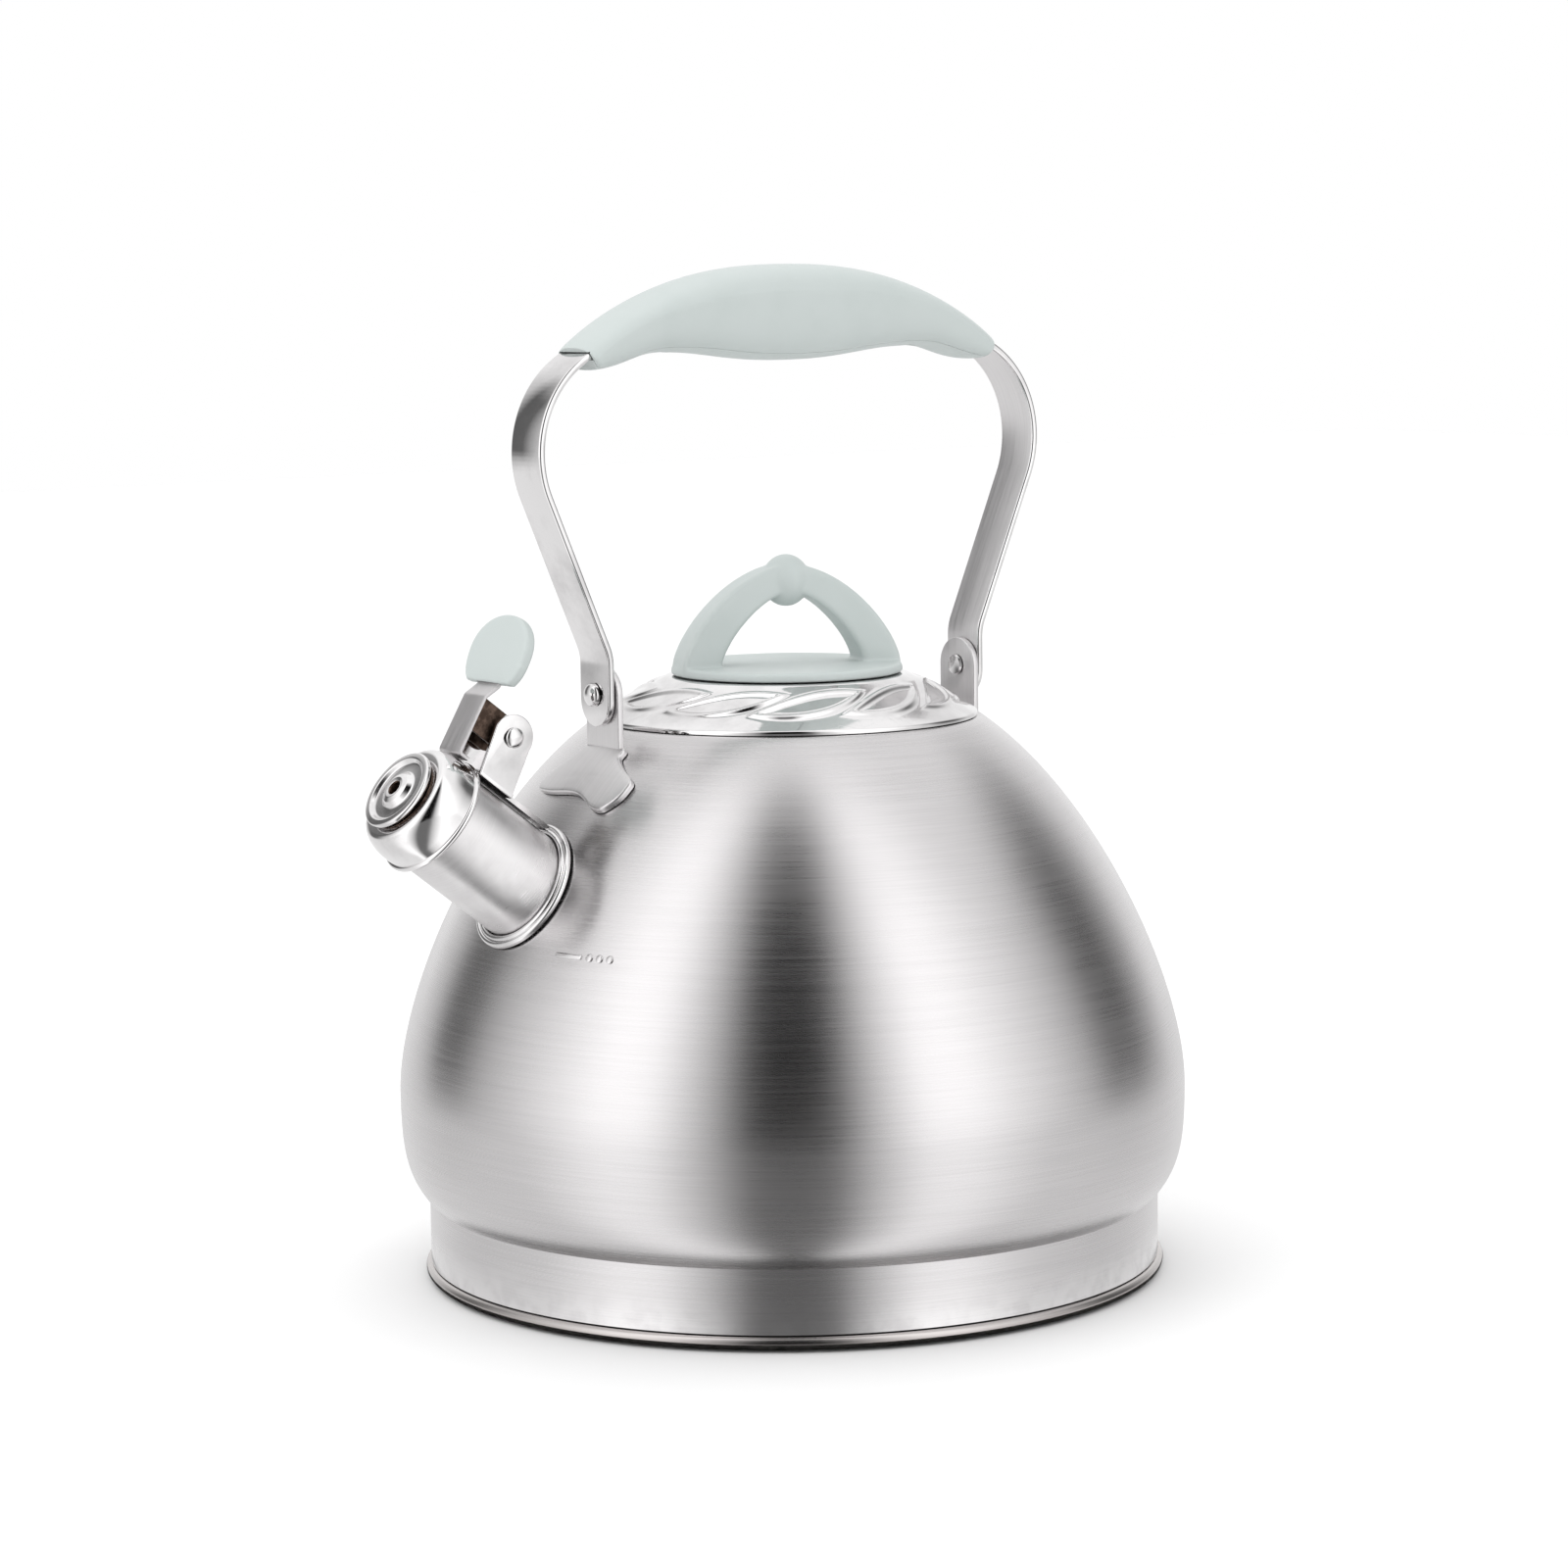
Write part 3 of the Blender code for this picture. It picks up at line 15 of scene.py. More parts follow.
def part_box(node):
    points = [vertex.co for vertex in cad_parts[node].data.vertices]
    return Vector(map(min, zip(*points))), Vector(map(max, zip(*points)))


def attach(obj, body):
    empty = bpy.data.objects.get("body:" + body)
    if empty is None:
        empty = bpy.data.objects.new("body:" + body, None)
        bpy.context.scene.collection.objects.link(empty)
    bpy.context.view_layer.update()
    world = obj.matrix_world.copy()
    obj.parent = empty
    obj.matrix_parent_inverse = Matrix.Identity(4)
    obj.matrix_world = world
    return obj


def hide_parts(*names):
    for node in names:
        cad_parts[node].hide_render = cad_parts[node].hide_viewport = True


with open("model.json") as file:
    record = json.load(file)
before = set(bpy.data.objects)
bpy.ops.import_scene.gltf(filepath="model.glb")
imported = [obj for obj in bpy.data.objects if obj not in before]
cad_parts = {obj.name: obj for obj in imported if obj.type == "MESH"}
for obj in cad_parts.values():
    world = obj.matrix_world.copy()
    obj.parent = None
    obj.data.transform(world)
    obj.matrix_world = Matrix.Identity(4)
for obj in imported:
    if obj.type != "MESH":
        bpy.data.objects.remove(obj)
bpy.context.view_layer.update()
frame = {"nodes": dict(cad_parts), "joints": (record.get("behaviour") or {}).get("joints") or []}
joints = {joint["name"]: joint for joint in frame["joints"]}

GAP = 0.0003
UP = Vector((0.0, 0.0, 1.0))

# Body
BODY_SHEET = 0.0010
FOOT_RADIUS = 0.1020
WAIST_HEIGHT = 0.0220
WAIST_SLOPE = radians(50.5)
WAIST_FULLNESS = 0.0093
BELLY_RADIUS = 0.1096
BELLY_HEIGHT = 0.0520
BELLY_FULLNESS_BELOW = 0.60
BELLY_FULLNESS_ABOVE = 0.264
SHOULDER_RISE = 0.1022
SHOULDER_SLOPE = radians(35.2)
SHOULDER_FULLNESS = 0.38
SHOULDER_STEP = 0.0004
SEAT_WIDTH = 0.0052
MOUTH_RADIUS = 0.0490
MOUTH_DEPTH = 0.0078
SHOULDER_HEIGHT = BELLY_HEIGHT + SHOULDER_RISE
SHOULDER_RADIUS = MOUTH_RADIUS + SEAT_WIDTH
SEAT_HEIGHT = SHOULDER_HEIGHT + SHOULDER_STEP
BODY_BOTTOM = 0.0046
FILL_HEIGHT = 0.1005

# Base
BEAD_RADIUS = 0.0018
BEAD_OVERHANG = 0.0014
PAN_SHEET = 0.0010
CAP_RADIUS = 0.0940
CAP_SHEET = 0.0006
SPREADER_TOP = 0.0045

# Lid
LID_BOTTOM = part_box("lid_shell")[0].z
LID_SHEET = 0.0008
LID_RADIUS = 0.0527
LID_RISE = 0.0117
LID_EDGE = 0.0010
LID_CROWN_RADIUS = 0.0335
LID_CROWN_BEND = 0.0040
LID_TURN = radians(-18)
SKIRT_PLAY = 0.0008
SKIRT_DEPTH = 0.0072
SWIRLS = 11
SWIRL_INSIDE = 0.0352
SWIRL_OUTSIDE = 0.0490
SWIRL_SLANT = 0.45
SWIRL_HALF_HEIGHT = 0.27
SWIRL_HALF_LENGTH = 0.64
SWIRL_LINE = 0.24
SWIRL_HEIGHT = 0.0008
KNOB_PLATE_RADIUS = 0.0322
KNOB_PLATE_THICKNESS = 0.0025
ARCH_HALF_SPAN = 0.0315
ARCH_HALF_OPENING = 0.0205
ARCH_HEIGHT = 0.0278
ARCH_OPENING_HEIGHT = 0.0200
ARCH_HALF_DEPTH = 0.0068
ARCH_DEPTH_TAPER = 0.06
KNOB_BALL_RADIUS = 0.0067
KNOB_BALL_HALF_HEIGHT = 0.0072
KNOB_BALL_STANDOUT = 0.0024
LID_SCREW_OFFSET = 0.0260
LID_SCREW_RADIUS = 0.0018
LID_SCREW_LENGTH = 0.0105
WASHER_RADIUS = 0.0048
WASHER_THICKNESS = 0.0008

# Ears and handle
PIVOT_HEIGHT = joints["handle_fold"]["pos_m"][2]
EAR_REACH = 0.0598
EAR_SHEET = 0.0018
EAR_WIDTH = 0.0155
EAR_FOOT_SHEET = 0.0016
EAR_FOOT_ROUND = 0.0006
STRAP_SHEET = 0.0020
STRAP_WIDTH = 0.0144
STRAP_FACE = EAR_REACH + EAR_SHEET + GAP + STRAP_SHEET
STRAP_TAIL = 0.0086
STRAP_BEND_ABOVE_PIVOT = 0.0105
STRAP_LEAN = radians(23)
STRAP_BEND_RADIUS = 0.0120
STRAP_CORNER_RADIUS = 0.0310
STRAP_CORNER_DROP = 0.0055
STRAP_TOP_RADIUS = 0.8
STRAP_RISE = 0.0980
RIVET_RADIUS = 0.0022
RIVET_HEAD_RADIUS = 0.0032
RIVET_HEAD_HEIGHT = 0.0022
RIVET_TAIL_RADIUS = 0.0029
RIVET_TAIL_HEIGHT = 0.0008
PIVOT_PLAY = 0.0004

# Grip
GRIP_HALF_LENGTH = 0.0692
GRIP_END_LEAN = 0.0040
GRIP_RISE = 0.0162
GRIP_END_FALL = 0.0212
GRIP_BELLY_DEPTH = 0.0100
GRIP_WAIST_DEPTH = 0.0070
GRIP_WAIST_SHARE = 0.61
GRIP_END_DEPTH = 0.0112
GRIP_HALF_WIDTH = 0.0123
GRIP_END_HALF_WIDTH = 0.0095
GRIP_FULLNESS = 2.4
GRIP_CREASE = 0.1064
GRIP_CREASE_FALL = 0.0168
GRIP_CREASE_FULLNESS = 2.9
GRIP_END_ROUND = 0.0016
GRIP_SCREW_OFFSET = 0.0420
GRIP_SCREW_RADIUS = 0.0015
GRIP_SCREW_HEAD_RADIUS = 0.0029
GRIP_SCREW_HEAD_HEIGHT = 0.0016
GRIP_SCREW_HEAD_SINK = 0.0012
GRIP_SCREW_BITE = 0.0062

# Spout, bracket and whistle, measured along the spout from where its axis meets the body
SPOUT_RISE = radians(37.6)
SPOUT_RADIUS = 0.0147
SPOUT_SHEET = 0.0008
SPOUT_LENGTH = 0.0365
SPOUT_ROOT_DEPTH = 0.0016
COLLAR_WIDTH = 0.0030
COLLAR_HEIGHT = 0.0022
COLLAR_LIFT = 0.0007
BRACKET_SHEET = 0.0013
BRACKET_HALF_WIDTH = 0.0080
BRACKET_EAR_RADIUS = 0.0062
BRACKET_BEHIND_PIN = 0.0090
BRACKET_AHEAD_OF_PIN = 0.0030
BRACKET_TAIL_RIB = 0.0009
BRACKET_TAIL_CLEAR = 0.0016
BRACKET_TAIL_HALF_WIDTH = 0.0050
PIN_ABOVE = 0.0284
PIN_ALONG = 0.0305
PIN_RADIUS = 0.0016
PIN_HEAD_RADIUS = 0.0027
PIN_HEAD_HEIGHT = 0.0014
WALL_RADIUS = 0.0162
WHISTLE_SHEET = 0.0008
WHISTLE_DEPTH = 0.0118
CAP_RIM_ALONG = 0.0340
CAP_RIM_RADIUS = 0.0170
WHISTLE_FRONT_RADIUS = 0.0138
WHISTLE_BORE_RADIUS = 0.0098
FRONT_DISC_RADIUS = 0.0114
FRONT_DISC_HEIGHT = 0.0032
WHISTLE_HOLE_RADIUS = 0.0019
REAR_DISC_DEPTH = 0.0066
LEVER_SHEET = 0.0010
LEVER_HALF_WIDTH = 0.0052
LEVER_EYE_RADIUS = 0.0046
LEVER_FACE = 0.0098
LEVER_FOOT_LENGTH = 0.0032
LEVER_LEAN = radians(7)
LEVER_KNEE_RISE = 0.0049
LEVER_KNEE_BACK = radians(-22)
LEVER_KNEE_LENGTH = 0.0047
LEVER_TAB_LENGTH = 0.0140
PAD_TILT = radians(13.6)
PAD_HEIGHT = 0.0190
PAD_THICKNESS = 0.0038
PAD_FOOT_HALF_WIDTH = 0.0100
PAD_HALF_WIDTH = 0.0135
PAD_WIDEST = 0.0085
PAD_FOOT_GAP = 0.0006
PAD_BACK_ROUND = 0.0012
PAD_FRONT_ROUND = 0.0009
PAD_CROWN = 0.0005
SPRING_WIRE_RADIUS = 0.00045
SPRING_COIL_RADIUS = 0.0028
SPRING_TURNS = 4
SPRING_HALF_WIDTH = 0.0024


# --- Curves and outlines ------------------------------------------------------------------------------

def arc(centre, radius, start, end, count):
    angles = np.linspace(start, end, count + 1)
    return [(centre[0] + radius * cos(a), centre[1] + radius * sin(a)) for a in angles]


def bezier(p0, p1, p2, p3, count):
    """Points along a cubic curve."""
    t = np.linspace(0.0, 1.0, count + 1)[:, None]
    p0, p1, p2, p3 = (np.array(p, float) for p in (p0, p1, p2, p3))
    points = (1 - t) ** 3 * p0 + 3 * (1 - t) ** 2 * t * p1 + 3 * (1 - t) * t ** 2 * p2 + t ** 3 * p3
    return [tuple(p) for p in points]


def filleted(corners, closed=True, step=radians(10)):
    """A path through corners (x, y, fillet radius); a corner with no third number stays sharp."""
    path = []
    for i, corner in enumerate(corners):
        point = Vector(corner[:2])
        radius = corner[2] if len(corner) > 2 else 0.0
        if radius == 0.0 or (not closed and i in (0, len(corners) - 1)):
            path.append(tuple(point))
            continue
        back = Vector(corners[i - 1][:2]) - point
        ahead = Vector(corners[(i + 1) % len(corners)][:2]) - point
        half = back.angle(ahead) / 2
        reach = min(radius / tan(half), 0.48 * back.length, 0.48 * ahead.length)
        radius = reach * tan(half)
        back.normalize()
        ahead.normalize()
        centre = point + (back + ahead).normalized() * (radius / sin(half))
        first = point + back * reach - centre
        last = point + ahead * reach - centre
        sweep = -first.angle_signed(last)
        start = atan2(first.y, first.x)
        path += arc(centre, radius, start, start + sweep, max(2, ceil(abs(sweep) / step)))
    return path


def offset_path(path, distance):
    """The path moved to the left of its direction of travel."""
    points = np.array(path, float)
    steps = np.diff(points, axis=0)
    normals = np.stack([-steps[:, 1], steps[:, 0]], axis=1) / np.linalg.norm(steps, axis=1)[:, None]
    middle = np.vstack([2 * normals[:1], normals[:-1] + normals[1:], 2 * normals[-1:]])
    moved = points + middle * (2 * distance / (middle ** 2).sum(axis=1))[:, None]
    return [tuple(p) for p in moved]


def resampled(path, spacing):
    """The path with points added so that none are further apart than the spacing."""
    result = [path[0]]
    for (x0, y0), (x1, y1) in zip(path, path[1:]):
        count = max(1, ceil(hypot(x1 - x0, y1 - y0) / spacing))
        result += [(x0 + (x1 - x0) * k / count, y0 + (y1 - y0) * k / count) for k in range(1, count + 1)]
    return result


def smooth_loop(points, per_side):
    """A closed Catmull-Rom curve through the points."""
    p = np.array(points, float)
    loop = []
    for i in range(len(p)):
        a, b, c, d = p[i - 1], p[i], p[(i + 1) % len(p)], p[(i + 2) % len(p)]
        for t in np.arange(per_side) / per_side:
            loop.append(tuple(0.5 * (2 * b + (c - a) * t + (2 * a - 5 * b + 4 * c - d) * t ** 2
                                     + (3 * b - a - 3 * c + d) * t ** 3)))
    return loop


# --- Meshes -------------------------------------------------------------------------------------------

def grid_mesh(name, rows, close_rows=False, cap_ends=False):
    """A mesh through rows of equally many points; each row is a closed ring."""
    rows = np.array(rows, float)
    count, width = rows.shape[:2]
    last = count if close_rows else count - 1
    faces = []
    for i in range(last):
        low, high = i * width, ((i + 1) % count) * width
        for j in range(width):
            k = (j + 1) % width
            faces.append((low + j, low + k, high + k, high + j))
    if cap_ends:
        faces.append(tuple(range(width))[::-1])
        faces.append(tuple(range((count - 1) * width, count * width)))
    mesh = bpy.data.meshes.new(name)
    mesh.from_pydata([tuple(p) for p in rows.reshape(-1, 3)], [], faces)
    return mesh


def turned_mesh(name, section, steps=128, closed=True):
    """A section of (radius, height) points turned about Z. It may start and end on the axis."""
    angles = np.arange(steps) * 2 * pi / steps
    rows = [[(r * cos(a), r * sin(a), z) for a in angles] for r, z in section]
    on_axis = section[0][0] == 0.0 and section[-1][0] == 0.0
    return grid_mesh(name, rows, close_rows=closed and not on_axis)


def prism_mesh(name, outline, near, far, edge=0.0, axis="y"):
    """An outline extruded from near to far, with its rims rounded by edge."""
    bm = bmesh.new()
    place = {
        "x": lambda u, v, w: (w, u, v),
        "y": lambda u, v, w: (u, w, v),
        "z": lambda u, v, w: (u, v, w),
    }[axis]
    face = bm.faces.new([bm.verts.new(place(u, v, near)) for u, v in outline])
    moved = bmesh.ops.extrude_face_region(bm, geom=[face])["geom"]
    shift = Vector(place(0.0, 0.0, far)) - Vector(place(0.0, 0.0, near))
    bmesh.ops.translate(bm, vec=shift, verts=[g for g in moved if isinstance(g, bmesh.types.BMVert)])
    if edge:
        rims = [e for e in bm.edges if abs((e.verts[0].co - e.verts[1].co).dot(shift)) < 1e-9]
        bmesh.ops.bevel(bm, geom=rims, offset=edge, segments=3, profile=0.5, affect="EDGES",
                        clamp_overlap=True)
    mesh = bpy.data.meshes.new(name)
    bm.to_mesh(mesh)
    bm.free()
    return mesh


def swept_mesh(name, path, half_width, half_thickness, edge, round_ends=(True, True)):
    """A strip along a path in the XZ plane, with rounded edges and, where asked, half-round ends."""
    path = np.array(resampled(path, 0.0006), float)
    steps = np.gradient(path, axis=0)
    tangents = steps / np.linalg.norm(steps, axis=1)[:, None]
    normals = np.stack([-tangents[:, 1], tangents[:, 0]], axis=1)
    travel = np.concatenate([[0.0], np.cumsum(np.linalg.norm(np.diff(path, axis=0), axis=1))])
    corners = [(-1, -1), (1, -1), (1, 1), (-1, 1)]
    rows = []
    for point, normal, gone in zip(path, normals, travel):
        half = half_width
        for at_end, distance in ((round_ends[0], gone), (round_ends[1], travel[-1] - gone)):
            if at_end and distance < half_width:
                half = min(half, max(0.0006, (half_width ** 2 - (half_width - distance) ** 2) ** 0.5))
        corner_round = min(edge, 0.9 * half)
        ring = filleted([(u * half, v * half_thickness, corner_round) for u, v in corners], step=radians(23))
        rows.append([(point[0] + normal[0] * v, u, point[1] + normal[1] * v) for u, v in ring])
    return grid_mesh(name, rows, cap_ends=True)


def stacked_mesh(name, outline, centre, layers, place):
    """Rings of one outline. A layer is (inset, share, level): moved in, drawn to the centre, and raised."""
    points = np.array(outline, float)
    ahead = np.roll(points, -1, axis=0) - np.roll(points, 1, axis=0)
    inward = np.stack([-ahead[:, 1], ahead[:, 0]], axis=1) / np.linalg.norm(ahead, axis=1)[:, None]
    if ((points - centre) * inward).sum() > 0:
        inward = -inward
    rows = []
    for inset, share, level in layers:
        ring = centre + (points + inward * inset - centre) * share
        rows.append([place(u, v, level) for u, v in ring])
    return grid_mesh(name, rows)


def tidy(mesh, sharp=radians(38)):
    """Merges doubled points, turns faces outward and shades the mesh smooth up to its sharp edges."""
    bm = bmesh.new()
    bm.from_mesh(mesh)
    bmesh.ops.remove_doubles(bm, verts=bm.verts, dist=2e-6)
    bmesh.ops.dissolve_degenerate(bm, edges=bm.edges, dist=1e-7)
    bmesh.ops.delete(bm, geom=[edge for edge in bm.edges if not edge.link_faces], context="EDGES")
    bmesh.ops.delete(bm, geom=[vertex for vertex in bm.verts if not vertex.link_faces], context="VERTS")
    bmesh.ops.recalc_face_normals(bm, faces=bm.faces)
    bm.to_mesh(mesh)
    bm.free()
    mesh.shade_smooth()
    mesh.set_sharp_from_angle(angle=sharp)
    return mesh


def loose(name, mesh, matrix=None):
    """An object at the origin whose mesh has been put in its place."""
    if matrix is not None:
        mesh.transform(matrix)
    obj = bpy.data.objects.new(name, tidy(mesh))
    bpy.context.scene.collection.objects.link(obj)
    return obj


def settle(obj):
    """Replaces an object's mesh by what its modifiers make of it."""
    graph = bpy.context.evaluated_depsgraph_get()
    baked = bpy.data.meshes.new_from_object(obj.evaluated_get(graph), depsgraph=graph)
    obj.modifiers.clear()
    old = obj.data
    obj.data = baked
    bpy.data.meshes.remove(old)
    baked.name = obj.name
    return obj


def combined(obj, operation, *tools):
    """Joins, cuts or intersects an object with others, which are used up."""
    for tool in tools:
        modifier = obj.modifiers.new(tool.name, "BOOLEAN")
        modifier.operation = operation
        modifier.object = tool
    settle(obj)
    for tool in tools:
        bpy.data.objects.remove(tool, do_unlink=True)
    tidy(obj.data)
    return obj


def drill(radius, start, end, steps=64):
    """A cylinder between two points, for making a hole."""
    start, end = Vector(start), Vector(end)
    length = (end - start).length
    mesh = turned_mesh("drill", [(0.0, 0.0), (radius, 0.0), (radius, length), (0.0, length)], steps)
    turn = UP.rotation_difference(end - start).to_matrix().to_4x4()
    return loose("drill", mesh, Matrix.Translation(start) @ turn)


def finish_piece(obj, body, slot, materials, *nodes):
    """Gives a piece its finish, its body and the CAD nodes that it stands for."""
    obj.data.materials.clear()
    for material in materials if isinstance(materials, (list, tuple)) else [materials]:
        obj.data.materials.append(material)
    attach(obj, body)
    if nodes:
        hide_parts(*nodes)
    return obj


# --- Geometry node trees ------------------------------------------------------------------------------

def node_tree(name, inputs):
    tree = bpy.data.node_groups.new(name, "GeometryNodeTree")
    tree.interface.new_socket("Geometry", in_out="INPUT", socket_type="NodeSocketGeometry")
    for label, kind in inputs:
        tree.interface.new_socket(label, in_out="INPUT", socket_type=kind)
    tree.interface.new_socket("Geometry", in_out="OUTPUT", socket_type="NodeSocketGeometry")
    return tree, tree.nodes.new("NodeGroupInput"), tree.nodes.new("NodeGroupOutput")


def finish_tree(tree, given, result, geometry):
    """Ends a tree by making its copies real and giving them their material."""
    real = tree.nodes.new("GeometryNodeRealizeInstances")
    paint = tree.nodes.new("GeometryNodeSetMaterial")
    tree.links.new(geometry, real.inputs["Geometry"])
    tree.links.new(real.outputs["Geometry"], paint.inputs["Geometry"])
    tree.links.new(given.outputs["Material"], paint.inputs["Material"])
    tree.links.new(paint.outputs["Geometry"], result.inputs["Geometry"])


def turned_copies_tree():
    """Copies of one shape, each turned about the Z axis by a pitch from the one before."""
    tree, given, result = node_tree("turned_copies", [
        ("Count", "NodeSocketInt"), ("Pitch", "NodeSocketFloat"), ("Start", "NodeSocketFloat"),
        ("Material", "NodeSocketMaterial"),
    ])
    nodes, links = tree.nodes, tree.links
    points = nodes.new("GeometryNodePoints")
    number = nodes.new("GeometryNodeInputIndex")
    angle = nodes.new("ShaderNodeMath")
    angle.operation = "MULTIPLY_ADD"
    turn = nodes.new("ShaderNodeCombineXYZ")
    copies = nodes.new("GeometryNodeInstanceOnPoints")
    links.new(given.outputs["Count"], points.inputs["Count"])
    links.new(number.outputs["Index"], angle.inputs[0])
    links.new(given.outputs["Pitch"], angle.inputs[1])
    links.new(given.outputs["Start"], angle.inputs[2])
    links.new(angle.outputs["Value"], turn.inputs["Z"])
    links.new(points.outputs["Points"], copies.inputs["Points"])
    links.new(given.outputs["Geometry"], copies.inputs["Instance"])
    links.new(turn.outputs["Vector"], copies.inputs["Rotation"])
    finish_tree(tree, given, result, copies.outputs["Instances"])
    return tree


def wire_coil_tree():
    """A coil of wire along Z with its first end on the X axis."""
    tree, given, result = node_tree("wire_coil", [
        ("Turns", "NodeSocketFloat"), ("Coil Radius", "NodeSocketFloat"), ("Length", "NodeSocketFloat"),
        ("Wire Radius", "NodeSocketFloat"), ("Material", "NodeSocketMaterial"),
    ])
    nodes, links = tree.nodes, tree.links
    coil = nodes.new("GeometryNodeCurveSpiral")
    coil.inputs["Resolution"].default_value = 28
    wire = nodes.new("GeometryNodeCurvePrimitiveCircle")
    wire.inputs["Resolution"].default_value = 12
    sweep = nodes.new("GeometryNodeCurveToMesh")
    sweep.inputs["Fill Caps"].default_value = True
    smooth = nodes.new("GeometryNodeSetShadeSmooth")
    links.new(given.outputs["Turns"], coil.inputs["Rotations"])
    links.new(given.outputs["Coil Radius"], coil.inputs["Start Radius"])
    links.new(given.outputs["Coil Radius"], coil.inputs["End Radius"])
    links.new(given.outputs["Length"], coil.inputs["Height"])
    links.new(given.outputs["Wire Radius"], wire.inputs["Radius"])
    links.new(coil.outputs["Curve"], sweep.inputs["Curve"])
    links.new(wire.outputs["Curve"], sweep.inputs["Profile Curve"])
    links.new(sweep.outputs["Mesh"], smooth.inputs["Geometry"])
    finish_tree(tree, given, result, smooth.outputs["Geometry"])
    return tree


def grown(obj, tree, **values):
    """Runs a tree on an object with its named inputs set, and keeps the mesh that it makes."""
    modifier = obj.modifiers.new(tree.name, "NODES")
    modifier.node_group = tree
    sockets = {item.name: item.identifier for item in tree.interface.items_tree if item.in_out == "INPUT"}
    for label, value in values.items():
        modifier[sockets[label.replace("_", " ")]] = value
    return settle(obj)


# --- Shader groups ------------------------------------------------------------------------------------

def shader_group(name, inputs, outputs):
    group = bpy.data.node_groups.new(name, "ShaderNodeTree")
    for label, kind, value in inputs:
        socket = group.interface.new_socket(label, in_out="INPUT", socket_type=kind)
        socket.default_value = value
    for label, kind in outputs:
        group.interface.new_socket(label, in_out="OUTPUT", socket_type=kind)
    return group, group.nodes.new("NodeGroupInput"), group.nodes.new("NodeGroupOutput")


class Wires:
    """Short ways to add and join nodes in one tree."""

    def __init__(self, tree):
        self.tree = tree

    def node(self, kind, **settings):
        node = self.tree.nodes.new(kind)
        for key, value in settings.items():
            setattr(node, key, value)
        return node

    def feed(self, socket, source):
        if isinstance(source, bpy.types.NodeSocket):
            self.tree.links.new(source, socket)
        else:
            socket.default_value = source

    def maths(self, operation, *sources, clamp=False):
        node = self.node("ShaderNodeMath", operation=operation, use_clamp=clamp)
        for socket, source in zip(node.inputs, sources):
            self.feed(socket, source)
        return node.outputs["Value"]

    def vectors(self, operation, *sources):
        node = self.node("ShaderNodeVectorMath", operation=operation)
        scaled = operation == "SCALE"
        self.feed(node.inputs[0], sources[0])
        if len(sources) > 1:
            self.feed(node.inputs["Scale"] if scaled else node.inputs[1], sources[1])
        return node.outputs["Value"] if operation in ("DOT_PRODUCT", "LENGTH") else node.outputs["Vector"]

    def noise(self, vector, scale, detail=2.0, roughness=0.5):
        node = self.node("ShaderNodeTexNoise")
        self.feed(node.inputs["Vector"], vector)
        self.feed(node.inputs["Scale"], scale)
        node.inputs["Detail"].default_value = detail
        node.inputs["Roughness"].default_value = roughness
        return node.outputs["Fac"]

    def ranged(self, value, low, high, to_low, to_high):
        node = self.node("ShaderNodeMapRange", interpolation_type="SMOOTHSTEP")
        for socket, source in zip(node.inputs[:5], (value, low, high, to_low, to_high)):
            self.feed(socket, source)
        return node.outputs["Result"]

    def mixed(self, share, first, second):
        node = self.node("ShaderNodeMix", data_type="RGBA")
        self.feed(node.inputs["Factor"], share)
        self.feed(node.inputs["A"], first)
        self.feed(node.inputs["B"], second)
        return node.outputs["Result"]


def brushing_group():
    """Fine lines left by a brushing belt. Across is the direction over the lines."""
    group, given, result = shader_group("brushing", [
        ("Across", "NodeSocketVector", (0.0, 0.0, 1.0)),
        ("Lines Per Metre", "NodeSocketFloat", 2600.0),
        ("Runs Per Metre", "NodeSocketFloat", 26.0),
    ], [("Lines", "NodeSocketFloat"), ("Bands", "NodeSocketFloat")])
    w = Wires(group)
    place = w.node("ShaderNodeTexCoord").outputs["Object"]
    over = w.vectors("DOT_PRODUCT", place, given.outputs["Across"])
    for label, share in (("Lines", 1.0), ("Bands", 0.3)):
        squeeze = w.maths("MULTIPLY", given.outputs["Lines Per Metre"], share)
        line = w.vectors("SCALE", given.outputs["Across"], w.maths("MULTIPLY", over, squeeze))
        run = w.vectors("SCALE", place, given.outputs["Runs Per Metre"])
        w.feed(result.inputs[label], w.noise(w.vectors("ADD", run, line), 1.0, 4.0, 0.62))
    return group


def turning_group():
    """Rings left by a lathe tool about an axis through a centre."""
    group, given, result = shader_group("turning", [
        ("Centre", "NodeSocketVector", (0.0, 0.0, 0.0)),
        ("Axis", "NodeSocketVector", (0.0, 0.0, 1.0)),
        ("Rings Per Metre", "NodeSocketFloat", 2600.0),
    ], [("Rings", "NodeSocketFloat")])
    w = Wires(group)
    place = w.vectors("SUBTRACT", w.node("ShaderNodeTexCoord").outputs["Object"], given.outputs["Centre"])
    along = w.vectors("DOT_PRODUCT", place, given.outputs["Axis"])
    flat = w.vectors("SUBTRACT", place, w.vectors("SCALE", given.outputs["Axis"], along))
    spread = w.node("ShaderNodeCombineXYZ")
    away = w.vectors("LENGTH", flat)
    w.feed(spread.inputs["X"], w.maths("MULTIPLY", away, given.outputs["Rings Per Metre"]))
    w.feed(spread.inputs["Y"], w.maths("MULTIPLY", along, 40.0))
    w.feed(result.inputs["Rings"], w.noise(spread.outputs["Vector"], 1.0, 3.0, 0.6))
    return group


